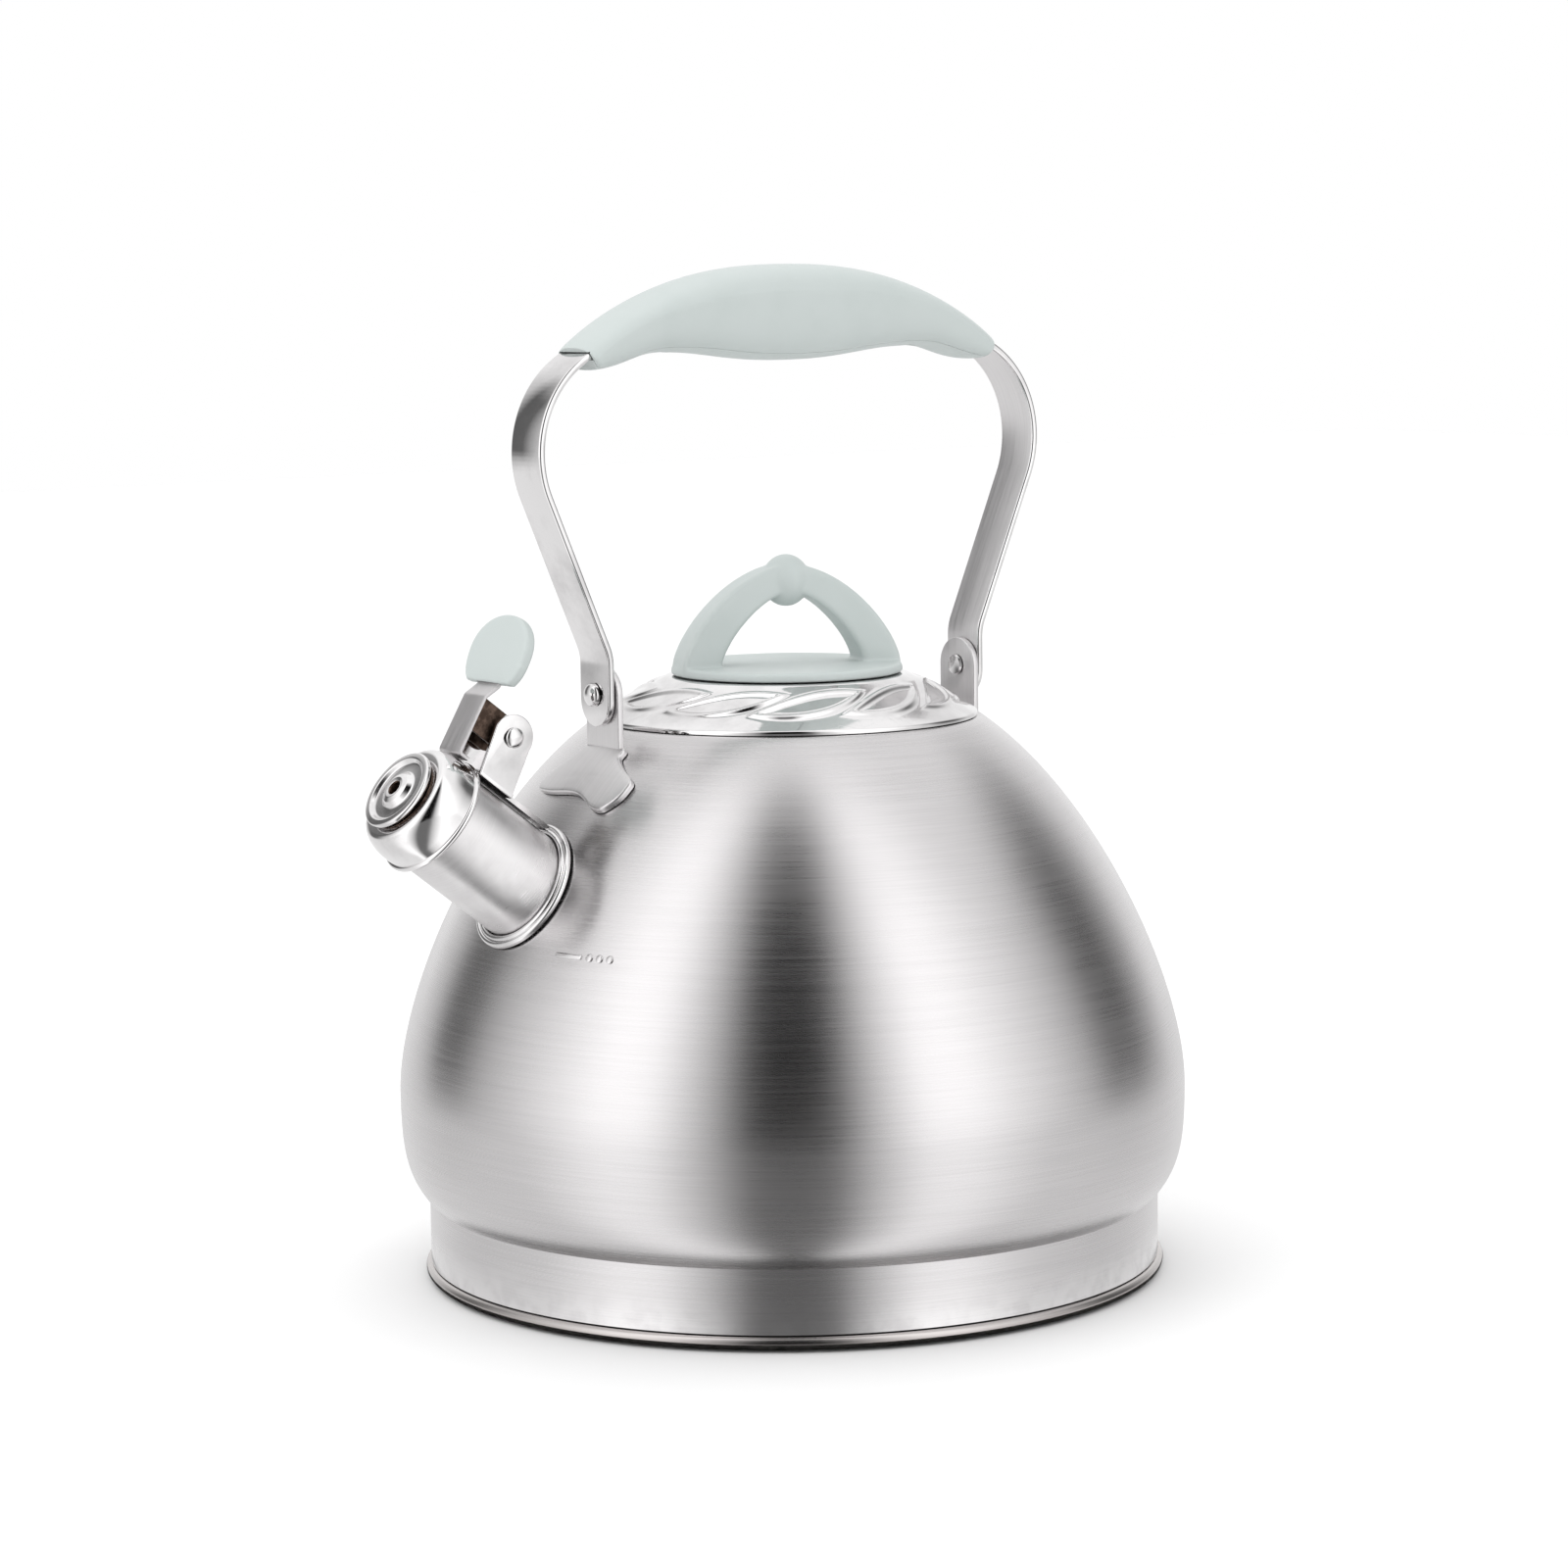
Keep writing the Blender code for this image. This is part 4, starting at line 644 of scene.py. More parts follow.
def handling_group():
    """Where hands and cloths have touched: broad smudges and fine random hairlines."""
    group, given, result = shader_group("handling", [
        ("Smudge Size", "NodeSocketFloat", 30.0),
        ("Hairline Size", "NodeSocketFloat", 260.0),
    ], [("Smudges", "NodeSocketFloat"), ("Hairlines", "NodeSocketFloat")])
    w = Wires(group)
    place = w.node("ShaderNodeTexCoord").outputs["Object"]
    smudges = w.noise(place, given.outputs["Smudge Size"], 5.0, 0.6)
    w.feed(result.inputs["Smudges"], w.ranged(smudges, 0.42, 0.68, 0.0, 1.0))
    warp = w.node("ShaderNodeTexNoise")
    w.feed(warp.inputs["Vector"], place)
    warp.inputs["Scale"].default_value = 60.0
    bent = w.vectors("ADD", place, w.vectors("SCALE", warp.outputs["Color"], 0.004))
    lines = w.node("ShaderNodeTexVoronoi", feature="DISTANCE_TO_EDGE")
    w.feed(lines.inputs["Vector"], bent)
    w.feed(lines.inputs["Scale"], given.outputs["Hairline Size"])
    w.feed(result.inputs["Hairlines"], w.ranged(lines.outputs["Distance"], 0.0, 0.035, 1.0, 0.0))
    return group


def edge_wear_group():
    """Brightness along outer edges, broken up so that the wear is uneven."""
    group, given, result = shader_group("edge_wear", [
        ("Start", "NodeSocketFloat", 0.52),
        ("Full", "NodeSocketFloat", 0.60),
        ("Break Up", "NodeSocketFloat", 180.0),
    ], [("Edges", "NodeSocketFloat")])
    w = Wires(group)
    sharpness = w.node("ShaderNodeNewGeometry").outputs["Pointiness"]
    edges = w.ranged(sharpness, given.outputs["Start"], given.outputs["Full"], 0.0, 1.0)
    patches = w.noise(w.node("ShaderNodeTexCoord").outputs["Object"], given.outputs["Break Up"], 3.0)
    w.feed(result.inputs["Edges"], w.maths("MULTIPLY", edges, w.ranged(patches, 0.30, 0.62, 0.35, 1.0)))
    return group


def moulding_group():
    """The skin of a moulding: a fine spark-eroded texture and slow flow marks."""
    group, given, result = shader_group("moulding", [
        ("Grain Size", "NodeSocketFloat", 5200.0),
        ("Flow Size", "NodeSocketFloat", 38.0),
    ], [("Grain", "NodeSocketFloat"), ("Flow", "NodeSocketFloat")])
    w = Wires(group)
    place = w.node("ShaderNodeTexCoord").outputs["Object"]
    w.feed(result.inputs["Grain"], w.noise(place, given.outputs["Grain Size"], 3.0, 0.7))
    w.feed(result.inputs["Flow"], w.noise(place, given.outputs["Flow Size"], 4.0, 0.55))
    return group


GROUPS = {group.name: group for group in (
    brushing_group(), turning_group(), handling_group(), edge_wear_group(), moulding_group(),
)}


def placed_group(w, name, **values):
    """A shader group in a material, with its named inputs set."""
    node = w.node("ShaderNodeGroup", node_tree=GROUPS[name])
    for label, value in values.items():
        w.feed(node.inputs[label.replace("_", " ")], value)
    return node.outputs


def principled(name, **values):
    """A new material with its shader's plain values set, and its wires."""
    material = bpy.data.materials.new(name)
    material.use_nodes = True
    shader = material.node_tree.nodes["Principled BSDF"]
    for label, value in values.items():
        shader.inputs[label.replace("_", " ")].default_value = value
    return material, shader, Wires(material.node_tree)


def bumped(w, shader, height, distance, strength=1.0):
    bump = w.node("ShaderNodeBump")
    bump.inputs["Distance"].default_value = distance
    bump.inputs["Strength"].default_value = strength
    w.feed(bump.inputs["Height"], height)
    w.feed(shader.inputs["Normal"], bump.outputs["Normal"])


# --- Materials ----------------------------------------------------------------------------------------

SATIN_DARK = (0.610, 0.595, 0.599, 1.0)
SATIN_LIGHT = (0.665, 0.648, 0.653, 1.0)
# A lighter copy of the satin pair, painted light: the spout, the ears and the strap's inner face are the body's
# steel, made brighter here.
PAINTED_LIGHT_SATIN_DARK = (0.715, 0.700, 0.704, 1.0)
PAINTED_LIGHT_SATIN_LIGHT = (0.790, 0.775, 0.779, 1.0)
MIRROR_DARK = (0.68, 0.667, 0.670, 1.0)
MIRROR_LIGHT = (0.84, 0.828, 0.830, 1.0)
SAGE_DEEP = (0.470, 0.522, 0.510, 1.0)
SAGE = (0.515, 0.562, 0.552, 1.0)
SAGE_WORN = (0.585, 0.628, 0.618, 1.0)


def brushed_steel(name, across, lines=2600.0, runs=26.0, rough=(0.245, 0.285), stretch=0.62,
                  dark=SATIN_DARK, light=SATIN_LIGHT):
    """Satin steel with brushing lines; across is the direction over the lines."""
    material, shader, w = principled(name, Metallic=1.0, Anisotropic=stretch, Anisotropic_Rotation=0.25)
    grain = placed_group(w, "brushing", Across=across, Lines_Per_Metre=lines, Runs_Per_Metre=runs)
    touched = placed_group(w, "handling", Smudge_Size=16.0)
    worn = placed_group(w, "edge_wear")
    tone = w.ranged(w.maths("MULTIPLY_ADD", grain["Bands"], 0.25, w.maths("MULTIPLY", grain["Lines"], 0.75)),
                    0.30, 0.68, 0.0, 1.0)
    colour = w.mixed(tone, dark, light)
    bright = w.maths("MULTIPLY", worn["Edges"], 0.7)
    w.feed(shader.inputs["Base Color"], w.mixed(bright, colour, MIRROR_LIGHT))
    rougher = w.ranged(grain["Lines"], 0.30, 0.70, rough[0], rough[1])
    rougher = w.maths("MULTIPLY_ADD", touched["Smudges"], 0.035, rougher)
    w.feed(shader.inputs["Roughness"], w.maths("MULTIPLY_ADD", worn["Edges"], -0.10, rougher))
    bumped(w, shader, grain["Lines"], 0.000010, 0.22)
    return material


def polished_steel(name, rough=(0.045, 0.11)):
    """Mirror-polished steel with faint smudges and hairlines."""
    material, shader, w = principled(name, Metallic=1.0)
    touched = placed_group(w, "handling", Smudge_Size=42.0)
    worn = placed_group(w, "edge_wear", Start=0.53, Full=0.64)
    colour = w.mixed(touched["Smudges"], MIRROR_LIGHT, MIRROR_DARK)
    bright = w.maths("MULTIPLY", worn["Edges"], 0.5)
    w.feed(shader.inputs["Base Color"], w.mixed(bright, colour, MIRROR_LIGHT))
    rougher = w.ranged(touched["Smudges"], 0.0, 1.0, rough[0], rough[1])
    w.feed(shader.inputs["Roughness"], w.maths("MULTIPLY_ADD", touched["Hairlines"], 0.05, rougher))
    bumped(w, shader, touched["Hairlines"], 0.000004, 0.3)
    return material


def turned_steel(name, light=SATIN_LIGHT, dark=SATIN_DARK, rough=(0.26, 0.40)):
    """Steel or aluminium with the rings of a lathe tool about the kettle's axis."""
    material, shader, w = principled(name, Metallic=1.0)
    turned = placed_group(w, "turning")
    touched = placed_group(w, "handling", Smudge_Size=24.0)
    tone = w.ranged(turned["Rings"], 0.32, 0.66, 0.0, 1.0)
    w.feed(shader.inputs["Base Color"], w.mixed(tone, dark, light))
    rougher = w.ranged(turned["Rings"], 0.30, 0.70, rough[0], rough[1])
    w.feed(shader.inputs["Roughness"], w.maths("MULTIPLY_ADD", touched["Smudges"], 0.06, rougher))
    bumped(w, shader, turned["Rings"], 0.00002, 0.6)
    return material


def sage_moulding(name):
    """Matte green plastic with a spark-eroded skin, a little lighter along its worn edges."""
    material, shader, w = principled(name, IOR=1.47)
    skin = placed_group(w, "moulding")
    worn = placed_group(w, "edge_wear", Start=0.515, Full=0.60, Break_Up=90.0)
    touched = placed_group(w, "handling", Smudge_Size=55.0)
    body = w.mixed(w.ranged(skin["Flow"], 0.35, 0.68, 0.0, 1.0), SAGE_DEEP, SAGE)
    body = w.mixed(w.ranged(skin["Flow"], 0.20, 0.55, 0.35, 1.0), body, SAGE)
    w.feed(shader.inputs["Base Color"], w.mixed(w.maths("MULTIPLY", worn["Edges"], 0.45), body, SAGE_WORN))
    rougher = w.ranged(skin["Grain"], 0.30, 0.70, 0.40, 0.56)
    w.feed(shader.inputs["Roughness"], w.maths("MULTIPLY_ADD", touched["Smudges"], -0.07, rougher))
    bumped(w, shader, skin["Grain"], 0.00004, 0.5)
    return material


def dark_metal(name, dark, light, rough, metallic=0.9):
    """Oiled spring wire; steel browned by heat and limescale; and dark steel that is painted shade in the
    whistle lever's gap.
    """
    material, shader, w = principled(name, Metallic=metallic)
    touched = placed_group(w, "handling", Smudge_Size=420.0, Hairline_Size=1500.0)
    w.feed(shader.inputs["Base Color"], w.mixed(touched["Smudges"], dark, light))
    w.feed(shader.inputs["Roughness"], w.ranged(touched["Smudges"], 0.0, 1.0, rough, rough + 0.18))
    bumped(w, shader, touched["Smudges"], 0.00002, 0.5)
    return material


def plain_floor(name):
    """White paper with a faint tooth."""
    material, shader, w = principled(name)
    place = w.node("ShaderNodeTexCoord").outputs["Object"]
    tooth = w.noise(place, 900.0, 3.0, 0.6)
    broad = w.noise(place, 3.0, 2.0)
    w.feed(shader.inputs["Base Color"], w.mixed(broad, (0.915, 0.915, 0.915, 1.0), (0.93, 0.93, 0.93, 1.0)))
    w.feed(shader.inputs["Roughness"], w.ranged(tooth, 0.3, 0.7, 0.72, 0.86))
    bumped(w, shader, tooth, 0.00003, 0.3)
    return material


# --- Body and base ------------------------------------------------------------------------------------

def dome_outline():
    """The wall's outer face, from its lower edge up to the shoulder."""
    fall = SHOULDER_FULLNESS * SHOULDER_RISE
    lower = bezier(
        (FOOT_RADIUS, WAIST_HEIGHT),
        (FOOT_RADIUS + WAIST_FULLNESS * cos(WAIST_SLOPE), WAIST_HEIGHT + WAIST_FULLNESS * sin(WAIST_SLOPE)),
        (BELLY_RADIUS, BELLY_HEIGHT - BELLY_FULLNESS_BELOW * (BELLY_HEIGHT - WAIST_HEIGHT)),
        (BELLY_RADIUS, BELLY_HEIGHT), 20,
    )
    upper = bezier(
        (BELLY_RADIUS, BELLY_HEIGHT),
        (BELLY_RADIUS, BELLY_HEIGHT + BELLY_FULLNESS_ABOVE * SHOULDER_RISE),
        (SHOULDER_RADIUS + fall * cos(SHOULDER_SLOPE), SHOULDER_HEIGHT - fall * sin(SHOULDER_SLOPE)),
        (SHOULDER_RADIUS, SHOULDER_HEIGHT), 64,
    )
    return [(FOOT_RADIUS, BODY_BOTTOM)] + lower + upper[1:]


DOME = dome_outline()
DOME_RADII, DOME_HEIGHTS = np.array(DOME).T
SHOULDER_FROM = len(DOME) - 64


def dome_radius(height):
    return float(np.interp(height, DOME_HEIGHTS, DOME_RADII))


def dome_height(radius):
    """The shoulder's height at a distance from the kettle's axis."""
    return float(np.interp(radius, DOME_RADII[SHOULDER_FROM:][::-1], DOME_HEIGHTS[SHOULDER_FROM:][::-1]))


def above_shoulder(point):
    """How far a point stands off the shoulder's slope."""
    radius = hypot(point.x, point.y)
    slope = (dome_height(radius - 0.001) - dome_height(radius + 0.001)) / 0.002
    return (point.z - dome_height(radius)) / (1 + slope ** 2) ** 0.5


PIN = Vector(joints["whistle_open"]["pos_m"])
SPOUT_AXIS = Vector((-cos(SPOUT_RISE), 0.0, sin(SPOUT_RISE)))
SPOUT_UP = Vector((sin(SPOUT_RISE), 0.0, cos(SPOUT_RISE)))
SPOUT_START = PIN - SPOUT_UP * PIN_ABOVE - SPOUT_AXIS * PIN_ALONG
LEANING = Matrix.Rotation(SPOUT_RISE - pi / 2, 4, "Y")
ON_SPOUT = Matrix.Translation(SPOUT_START) @ LEANING
ON_PIN = Matrix.Translation(PIN) @ LEANING
ON_LID = Matrix.Translation((0.0, 0.0, LID_BOTTOM)) @ Matrix.Rotation(LID_TURN, 4, "Z")
ON_PIVOTS = Matrix.Translation((0.0, 0.0, PIVOT_HEIGHT))
ACROSS = Matrix.Rotation(pi / 2, 4, "X")

TURNED_COPIES = turned_copies_tree()
WIRE_COIL = wire_coil_tree()

BODY_STEEL = brushed_steel("brushed_body_steel", (0.0, 0.0, 1.0))
# Sheet and spout steel take the lighter pair, which is painted light on the body's satin steel.
SHEET_STEEL = brushed_steel("satin_sheet_steel", (0.0, 1.0, 0.0), 1900.0, 40.0, (0.30, 0.42), 0.2,
                            PAINTED_LIGHT_SATIN_DARK, PAINTED_LIGHT_SATIN_LIGHT)
SPOUT_STEEL = brushed_steel("satin_spout_steel", tuple(SPOUT_AXIS), 2600.0, 60.0, (0.34, 0.42), 0.0,
                            PAINTED_LIGHT_SATIN_DARK, PAINTED_LIGHT_SATIN_LIGHT)
LEVER_STEEL = brushed_steel("satin_lever_steel", (0.0, 1.0, 0.0), 3200.0, 60.0, (0.34, 0.46), 0.2)
MIRROR_STEEL = polished_steel("polished_steel")
BRIGHT_STEEL = polished_steel("bright_drawn_steel", (0.10, 0.19))
BEAD_STEEL = turned_steel("rolled_bead_steel", (0.60, 0.57, 0.56, 1.0), (0.48, 0.45, 0.44, 1.0), (0.16, 0.26))
FASTENER_STEEL = turned_steel("screw_steel", rough=(0.30, 0.42))
CAP_STEEL = turned_steel("turned_base_steel")
SPREADER_METAL = turned_steel(
    "spreader_aluminium", (0.74, 0.74, 0.75, 1.0), (0.58, 0.58, 0.60, 1.0), (0.4, 0.55),
)
# Browned steel in the whistle front disc's hollows; on the lever's side plates the same dark steel is painted
# shade.
BROWNED_AND_PAINTED_SHADE_STEEL = dark_metal("browned_and_painted_shade_steel", (0.055, 0.036, 0.027, 1.0), (0.16, 0.11, 0.085, 1.0), 0.34)
SPRING_WIRE = dark_metal("spring_wire", (0.060, 0.042, 0.030, 1.0), (0.24, 0.18, 0.14, 1.0), 0.30, 1.0)
PLASTIC = sage_moulding("sage_plastic")


def make_body():
    neck = filleted([
        (SHOULDER_RADIUS - 2 * SHOULDER_STEP, SEAT_HEIGHT),
        (MOUTH_RADIUS, SEAT_HEIGHT, 0.0014),
        (MOUTH_RADIUS, SEAT_HEIGHT - MOUTH_DEPTH),
    ], closed=False)
    outer = DOME + neck
    inner = offset_path(outer, BODY_SHEET)
    inner = inner[:1] + inner[1:-len(neck):2] + inner[-len(neck):]
    body = loose("body_shell_surface", turned_mesh("body", outer + inner[::-1], 256))
    reach = SPOUT_AXIS * (3 * SPOUT_ROOT_DEPTH + SPOUT_RADIUS)
    combined(body, "DIFFERENCE", drill(SPOUT_RADIUS + GAP, SPOUT_START - reach, SPOUT_START + reach, 96))
    finish_piece(body, "kettle", "brushed_steel", BODY_STEEL, "body_shell")


def make_fill_mark():
    """A raised dash beside the spout at the highest safe water level, with three dots after it."""
    def pad(name, outline, half_tall, half_wide, middle):
        rows = []
        for inset, level in ((0.0, -0.0002), (0.0, 0.0002), (0.00008, 0.0004), (0.0003, 0.0005)):
            ring = []
            for x, y in outline:
                height = FILL_HEIGHT + (half_tall - inset) * y
                radius = dome_radius(height) + level
                angle = middle + (half_wide - inset) * x / radius
                ring.append((-radius * cos(angle), -radius * sin(angle), height))
            rows.append(ring)
        return loose(name, grid_mesh(name, rows, cap_ends=True))

    dots = pad("fill_mark_dots", arc((0.0, 0.0), 1.0, 0.0, 1.9 * pi, 19), 0.0010, 0.0010, radians(21.0))
    grown(dots, TURNED_COPIES, Count=3, Pitch=radians(1.9), Start=0.0, Material=BODY_STEEL)
    dash = [(-1.0, -0.6), (-0.94, -1.0), (0.94, -1.0), (1.0, -0.6)]
    dash += [(-x, -y) for x, y in dash]
    mark = pad("fill_mark", dash, 0.0006, 0.0044, radians(16.9))
    combined(mark, "UNION", dots)
    finish_piece(mark, "kettle", "brushed_steel", BODY_STEEL)


def make_base():
    bead_radius = FOOT_RADIUS + BEAD_OVERHANG - BEAD_RADIUS
    bead_height = BODY_BOTTOM - GAP - BEAD_RADIUS
    recess = CAP_RADIUS + GAP
    ceiling = SPREADER_TOP + GAP
    floor = ceiling + PAN_SHEET
    wall = FOOT_RADIUS - BODY_SHEET - GAP
    pan = [(0.0, ceiling), (recess, ceiling), (recess, bead_height - BEAD_RADIUS)]
    pan += arc((bead_radius, bead_height), BEAD_RADIUS, -pi / 2, pi / 2, 20)
    pan += [(wall, bead_height + BEAD_RADIUS), (wall - PAN_SHEET, floor), (0.0, floor)]
    pan = loose("base_pan_surface", turned_mesh("pan", pan, 256))
    finish_piece(pan, "kettle", "polished_steel", BEAD_STEEL, "base_pan")

    path = filleted([(0.0, 0.0), (CAP_RADIUS, 0.0, 0.0012), (CAP_RADIUS, SPREADER_TOP)], closed=False)
    section = path + offset_path(path, CAP_SHEET)[::-1]
    cap = loose("base_cap_surface", turned_mesh("cap", section, 256))
    finish_piece(cap, "kettle", "brushed_steel", CAP_STEEL, "base_cap")
    spreader = frame["nodes"]["heat_spreader"]
    spreader.data.materials.clear()
    spreader.data.materials.append(SPREADER_METAL)


# --- Spout --------------------------------------------------------------------------------------------

def along_to_body(radius, angle):
    """How far along the spout a line beside its axis meets the body."""
    start = SPOUT_START + SPOUT_UP * (radius * cos(angle)) + Vector((0.0, radius * sin(angle), 0.0))
    low, high = -2 * SPOUT_RADIUS, 2 * SPOUT_RADIUS
    for _ in range(30):
        middle = (low + high) / 2
        point = start + SPOUT_AXIS * middle
        if hypot(point.x, point.y) < dome_radius(point.z):
            low = middle
        else:
            high = middle
    return low


def fitted_mesh(name, section, steps=128):
    """A ring about the spout from (radius, height, follows) points; those that follow start on the body."""
    rows = []
    for radius, height, follows in section:
        angles = [2 * pi * i / steps for i in range(steps)]
        base = [along_to_body(radius, a) if follows else 0.0 for a in angles]
        rows.append([(radius * cos(a), radius * sin(a), b + height) for a, b in zip(angles, base)])
    return grid_mesh(name, rows, close_rows=True)


def make_spout():
    bore = SPOUT_RADIUS - SPOUT_SHEET
    half = SPOUT_SHEET / 2
    lip = arc((SPOUT_RADIUS - half, SPOUT_LENGTH - half), half, 0.0, pi, 8)
    section = [(SPOUT_RADIUS, -SPOUT_ROOT_DEPTH, True)]
    section += [(r, z, False) for r, z in lip] + [(bore, -SPOUT_ROOT_DEPTH, True)]
    tube = loose("spout_tube_surface", fitted_mesh("tube", section), ON_SPOUT)
    finish_piece(tube, "kettle", "brushed_steel", SPOUT_STEEL, "spout_tube")

    inner = SPOUT_RADIUS + GAP
    outer = inner + COLLAR_WIDTH
    section = [(inner, COLLAR_LIFT), (outer, COLLAR_LIFT)]
    section += arc((outer - 0.00075, 0.00125), 0.00075, 0.0, 0.86 * pi, 9)
    section += arc((inner + 0.00078, COLLAR_HEIGHT - 0.00078), 0.00078, 0.16 * pi, pi, 9)
    collar = loose("spout_collar", fitted_mesh("collar", [(r, z, True) for r, z in section]), ON_SPOUT)
    finish_piece(collar, "kettle", "polished_steel", BRIGHT_STEEL, "spout_flange")


def headed_section(shank_radius, shank, head_radius, head_height, tail=None):
    """A rivet or screw along Z: a domed head below 0, a shank above it and, for a rivet, a spread tail."""
    edge = 0.22 * head_height
    rise = head_height - edge
    dome = [(head_radius * sin(a), -edge - rise * cos(a)) for a in np.linspace(0.0, pi / 2, 12)]
    section = dome + [(head_radius, 0.0), (shank_radius, 0.0), (shank_radius, shank)]
    if tail:
        radius, height = tail
        section += [(radius - 0.0001, shank), (radius, shank + 0.3 * height), (radius - 0.0003, shank + height),
                    (0.5 * radius, shank + 0.75 * height), (0.0, shank + 0.7 * height)]
    else:
        section += [(shank_radius - 0.0003, shank + 0.0002), (0.0, shank + 0.0002)]
    return section


def make_bracket():
    bottom = SPOUT_RADIUS + GAP
    top = bottom + BRACKET_SHEET
    half = BRACKET_HALF_WIDTH
    start, end = PIN_ALONG - BRACKET_BEHIND_PIN, PIN_ALONG + BRACKET_AHEAD_OF_PIN
    outline = [(bottom, start), (bottom, end), (top, end), (top, start)]
    bracket = loose("hinge_bracket_surface", prism_mesh("plate", outline, -half, half, 0.0002))
    outline = [(bottom, end)] + arc((PIN_ABOVE, PIN_ALONG), BRACKET_EAR_RADIUS, pi / 2, -pi / 2, 32)
    outline += [(bottom, start)]
    ears = []
    for side in (-1, 1):
        near, far = sorted((side * half, side * (half - BRACKET_SHEET)))
        ears.append(loose("bracket_ear", prism_mesh("ear", outline, near, far, 0.0003)))
    tail = BRACKET_TAIL_HALF_WIDTH
    rib = BRACKET_TAIL_RIB
    channel = [(bottom, -tail), (top, -tail), (top, rib - tail), (top - rib, rib - tail),
               (top - rib, tail - rib), (top, tail - rib), (top, tail), (bottom, tail)]
    tail_start = along_to_body(bottom, 0.0) + COLLAR_HEIGHT + BRACKET_TAIL_CLEAR
    strip = loose("bracket_tail", prism_mesh("tail", channel, tail_start, start + BRACKET_SHEET, 0.0002, "z"))
    combined(bracket, "UNION", strip, *ears)
    reach = Vector((0.0, 2 * half, 0.0))
    pin = Vector((PIN_ABOVE, 0.0, PIN_ALONG))
    combined(bracket, "DIFFERENCE", drill(PIN_RADIUS + GAP, pin - reach, pin + reach))
    bracket.data.transform(ON_SPOUT)
    finish_piece(bracket, "kettle", "brushed_steel", BRIGHT_STEEL, "hinge_bracket")

    length = 2 * (half + GAP)
    section = headed_section(PIN_RADIUS, length, PIN_HEAD_RADIUS, PIN_HEAD_HEIGHT)[:-2]
    section += [(PIN_RADIUS, length)]
    edge = 0.25 * PIN_HEAD_HEIGHT
    section += [(PIN_HEAD_RADIUS * cos(a), length + edge + (PIN_HEAD_HEIGHT - edge) * sin(a))
                for a in np.linspace(0.0, pi / 2, 12)]
    section = [(0.0, section[0][1])] + section[1:-1] + [(0.0, section[-1][1])]
    place = ON_PIN @ Matrix.Translation((0.0, -length / 2, 0.0)) @ ACROSS.inverted()
    pin = loose("hinge_pin_surface", turned_mesh("pin", section, 48), place)
    finish_piece(pin, "kettle", "polished_steel", BRIGHT_STEEL, "hinge_pin")


# --- Whistle ------------------------------------------------------------------------------------------

ON_CAP = ON_PIN @ Matrix.Translation((-PIN_ABOVE, 0.0, -PIN_ALONG))


def cap_wall(inset, count):
    """Where the cap's wall bends over to its front."""
    front = CAP_RIM_ALONG + WHISTLE_DEPTH - inset
    bend = WHISTLE_FRONT_RADIUS - inset
    wall = WALL_RADIUS - inset
    return bezier((wall, CAP_RIM_ALONG + 0.32 * WHISTLE_DEPTH), (wall, CAP_RIM_ALONG + 0.74 * WHISTLE_DEPTH),
                  (bend + 0.0006, front), (bend - 0.0012, front), count)


def make_cap():
    rim = CAP_RIM_ALONG
    front = rim + WHISTLE_DEPTH
    roll = CAP_RIM_RADIUS - WALL_RADIUS
    section = arc((WALL_RADIUS, rim + roll), roll, -pi / 2, pi / 2, 14)
    section += cap_wall(0.0, 24)
    section += filleted([(WHISTLE_BORE_RADIUS + 0.0009, front), (WHISTLE_BORE_RADIUS, front, 0.0003),
                         (WHISTLE_BORE_RADIUS, front - WHISTLE_SHEET)], closed=False)
    section += cap_wall(WHISTLE_SHEET, 16)[::-1] + [(WALL_RADIUS - WHISTLE_SHEET, rim)]
    cap = loose("whistle_cap_surface", turned_mesh("cap", section, 160), ON_CAP)
    finish_piece(cap, "whistle", "polished_steel", BRIGHT_STEEL, "whistle_cap")

    back = front + GAP
    top = back + FRONT_DISC_HEIGHT
    outer = FRONT_DISC_RADIUS
    hole = WHISTLE_HOLE_RADIUS
    section = filleted([
        (hole, back - GAP), (outer - 0.0036, back), (outer - 0.0012, back),
        (outer - 0.0012, back + 0.0009, 0.0002), (outer, back + 0.0009, 0.0003),
        (outer, back + 0.0022, 0.0006), (outer - 0.0019, back + 0.0024, 0.0007),
        (outer - 0.0028, back + 0.0012, 0.0008), (0.0056, back + 0.0013, 0.0010),
        (0.0044, top - 0.0006, 0.0006), (0.0031, top, 0.0005),
        (hole + 0.0003, top - 0.0002, 0.0002), (hole, top - 0.0006, 0.0002),
    ])
    disc = loose("whistle_front_surface", turned_mesh("front_disc", section, 128), ON_CAP)
    finish_piece(disc, "whistle", "polished_steel", [BRIGHT_STEEL, BROWNED_AND_PAINTED_SHADE_STEEL], "whistle_front_disc")
    inverse = ON_CAP.inverted()
    for face in disc.data.polygons:
        local = inverse @ face.center
        away = hypot(local.x, local.y)
        if local.z < back + 0.00085 or away < hole + 0.00015:
            face.material_index = 1

    seat = rim + REAR_DISC_DEPTH
    rear = [(hole, seat + 0.0012), (WHISTLE_BORE_RADIUS - 0.0024, seat + 0.0012, 0.0006),
            (WHISTLE_BORE_RADIUS, seat, 0.0006), (WALL_RADIUS - WHISTLE_SHEET - GAP, seat)]
    rear = filleted(rear, closed=False)
    rear += [(r, z + 0.0005) for r, z in rear[::-1]]
    disc = loose("whistle_rear_surface", turned_mesh("rear_disc", rear, 96), ON_CAP)
    finish_piece(disc, "whistle", "brushed_steel", BRIGHT_STEEL, "whistle_rear_disc")


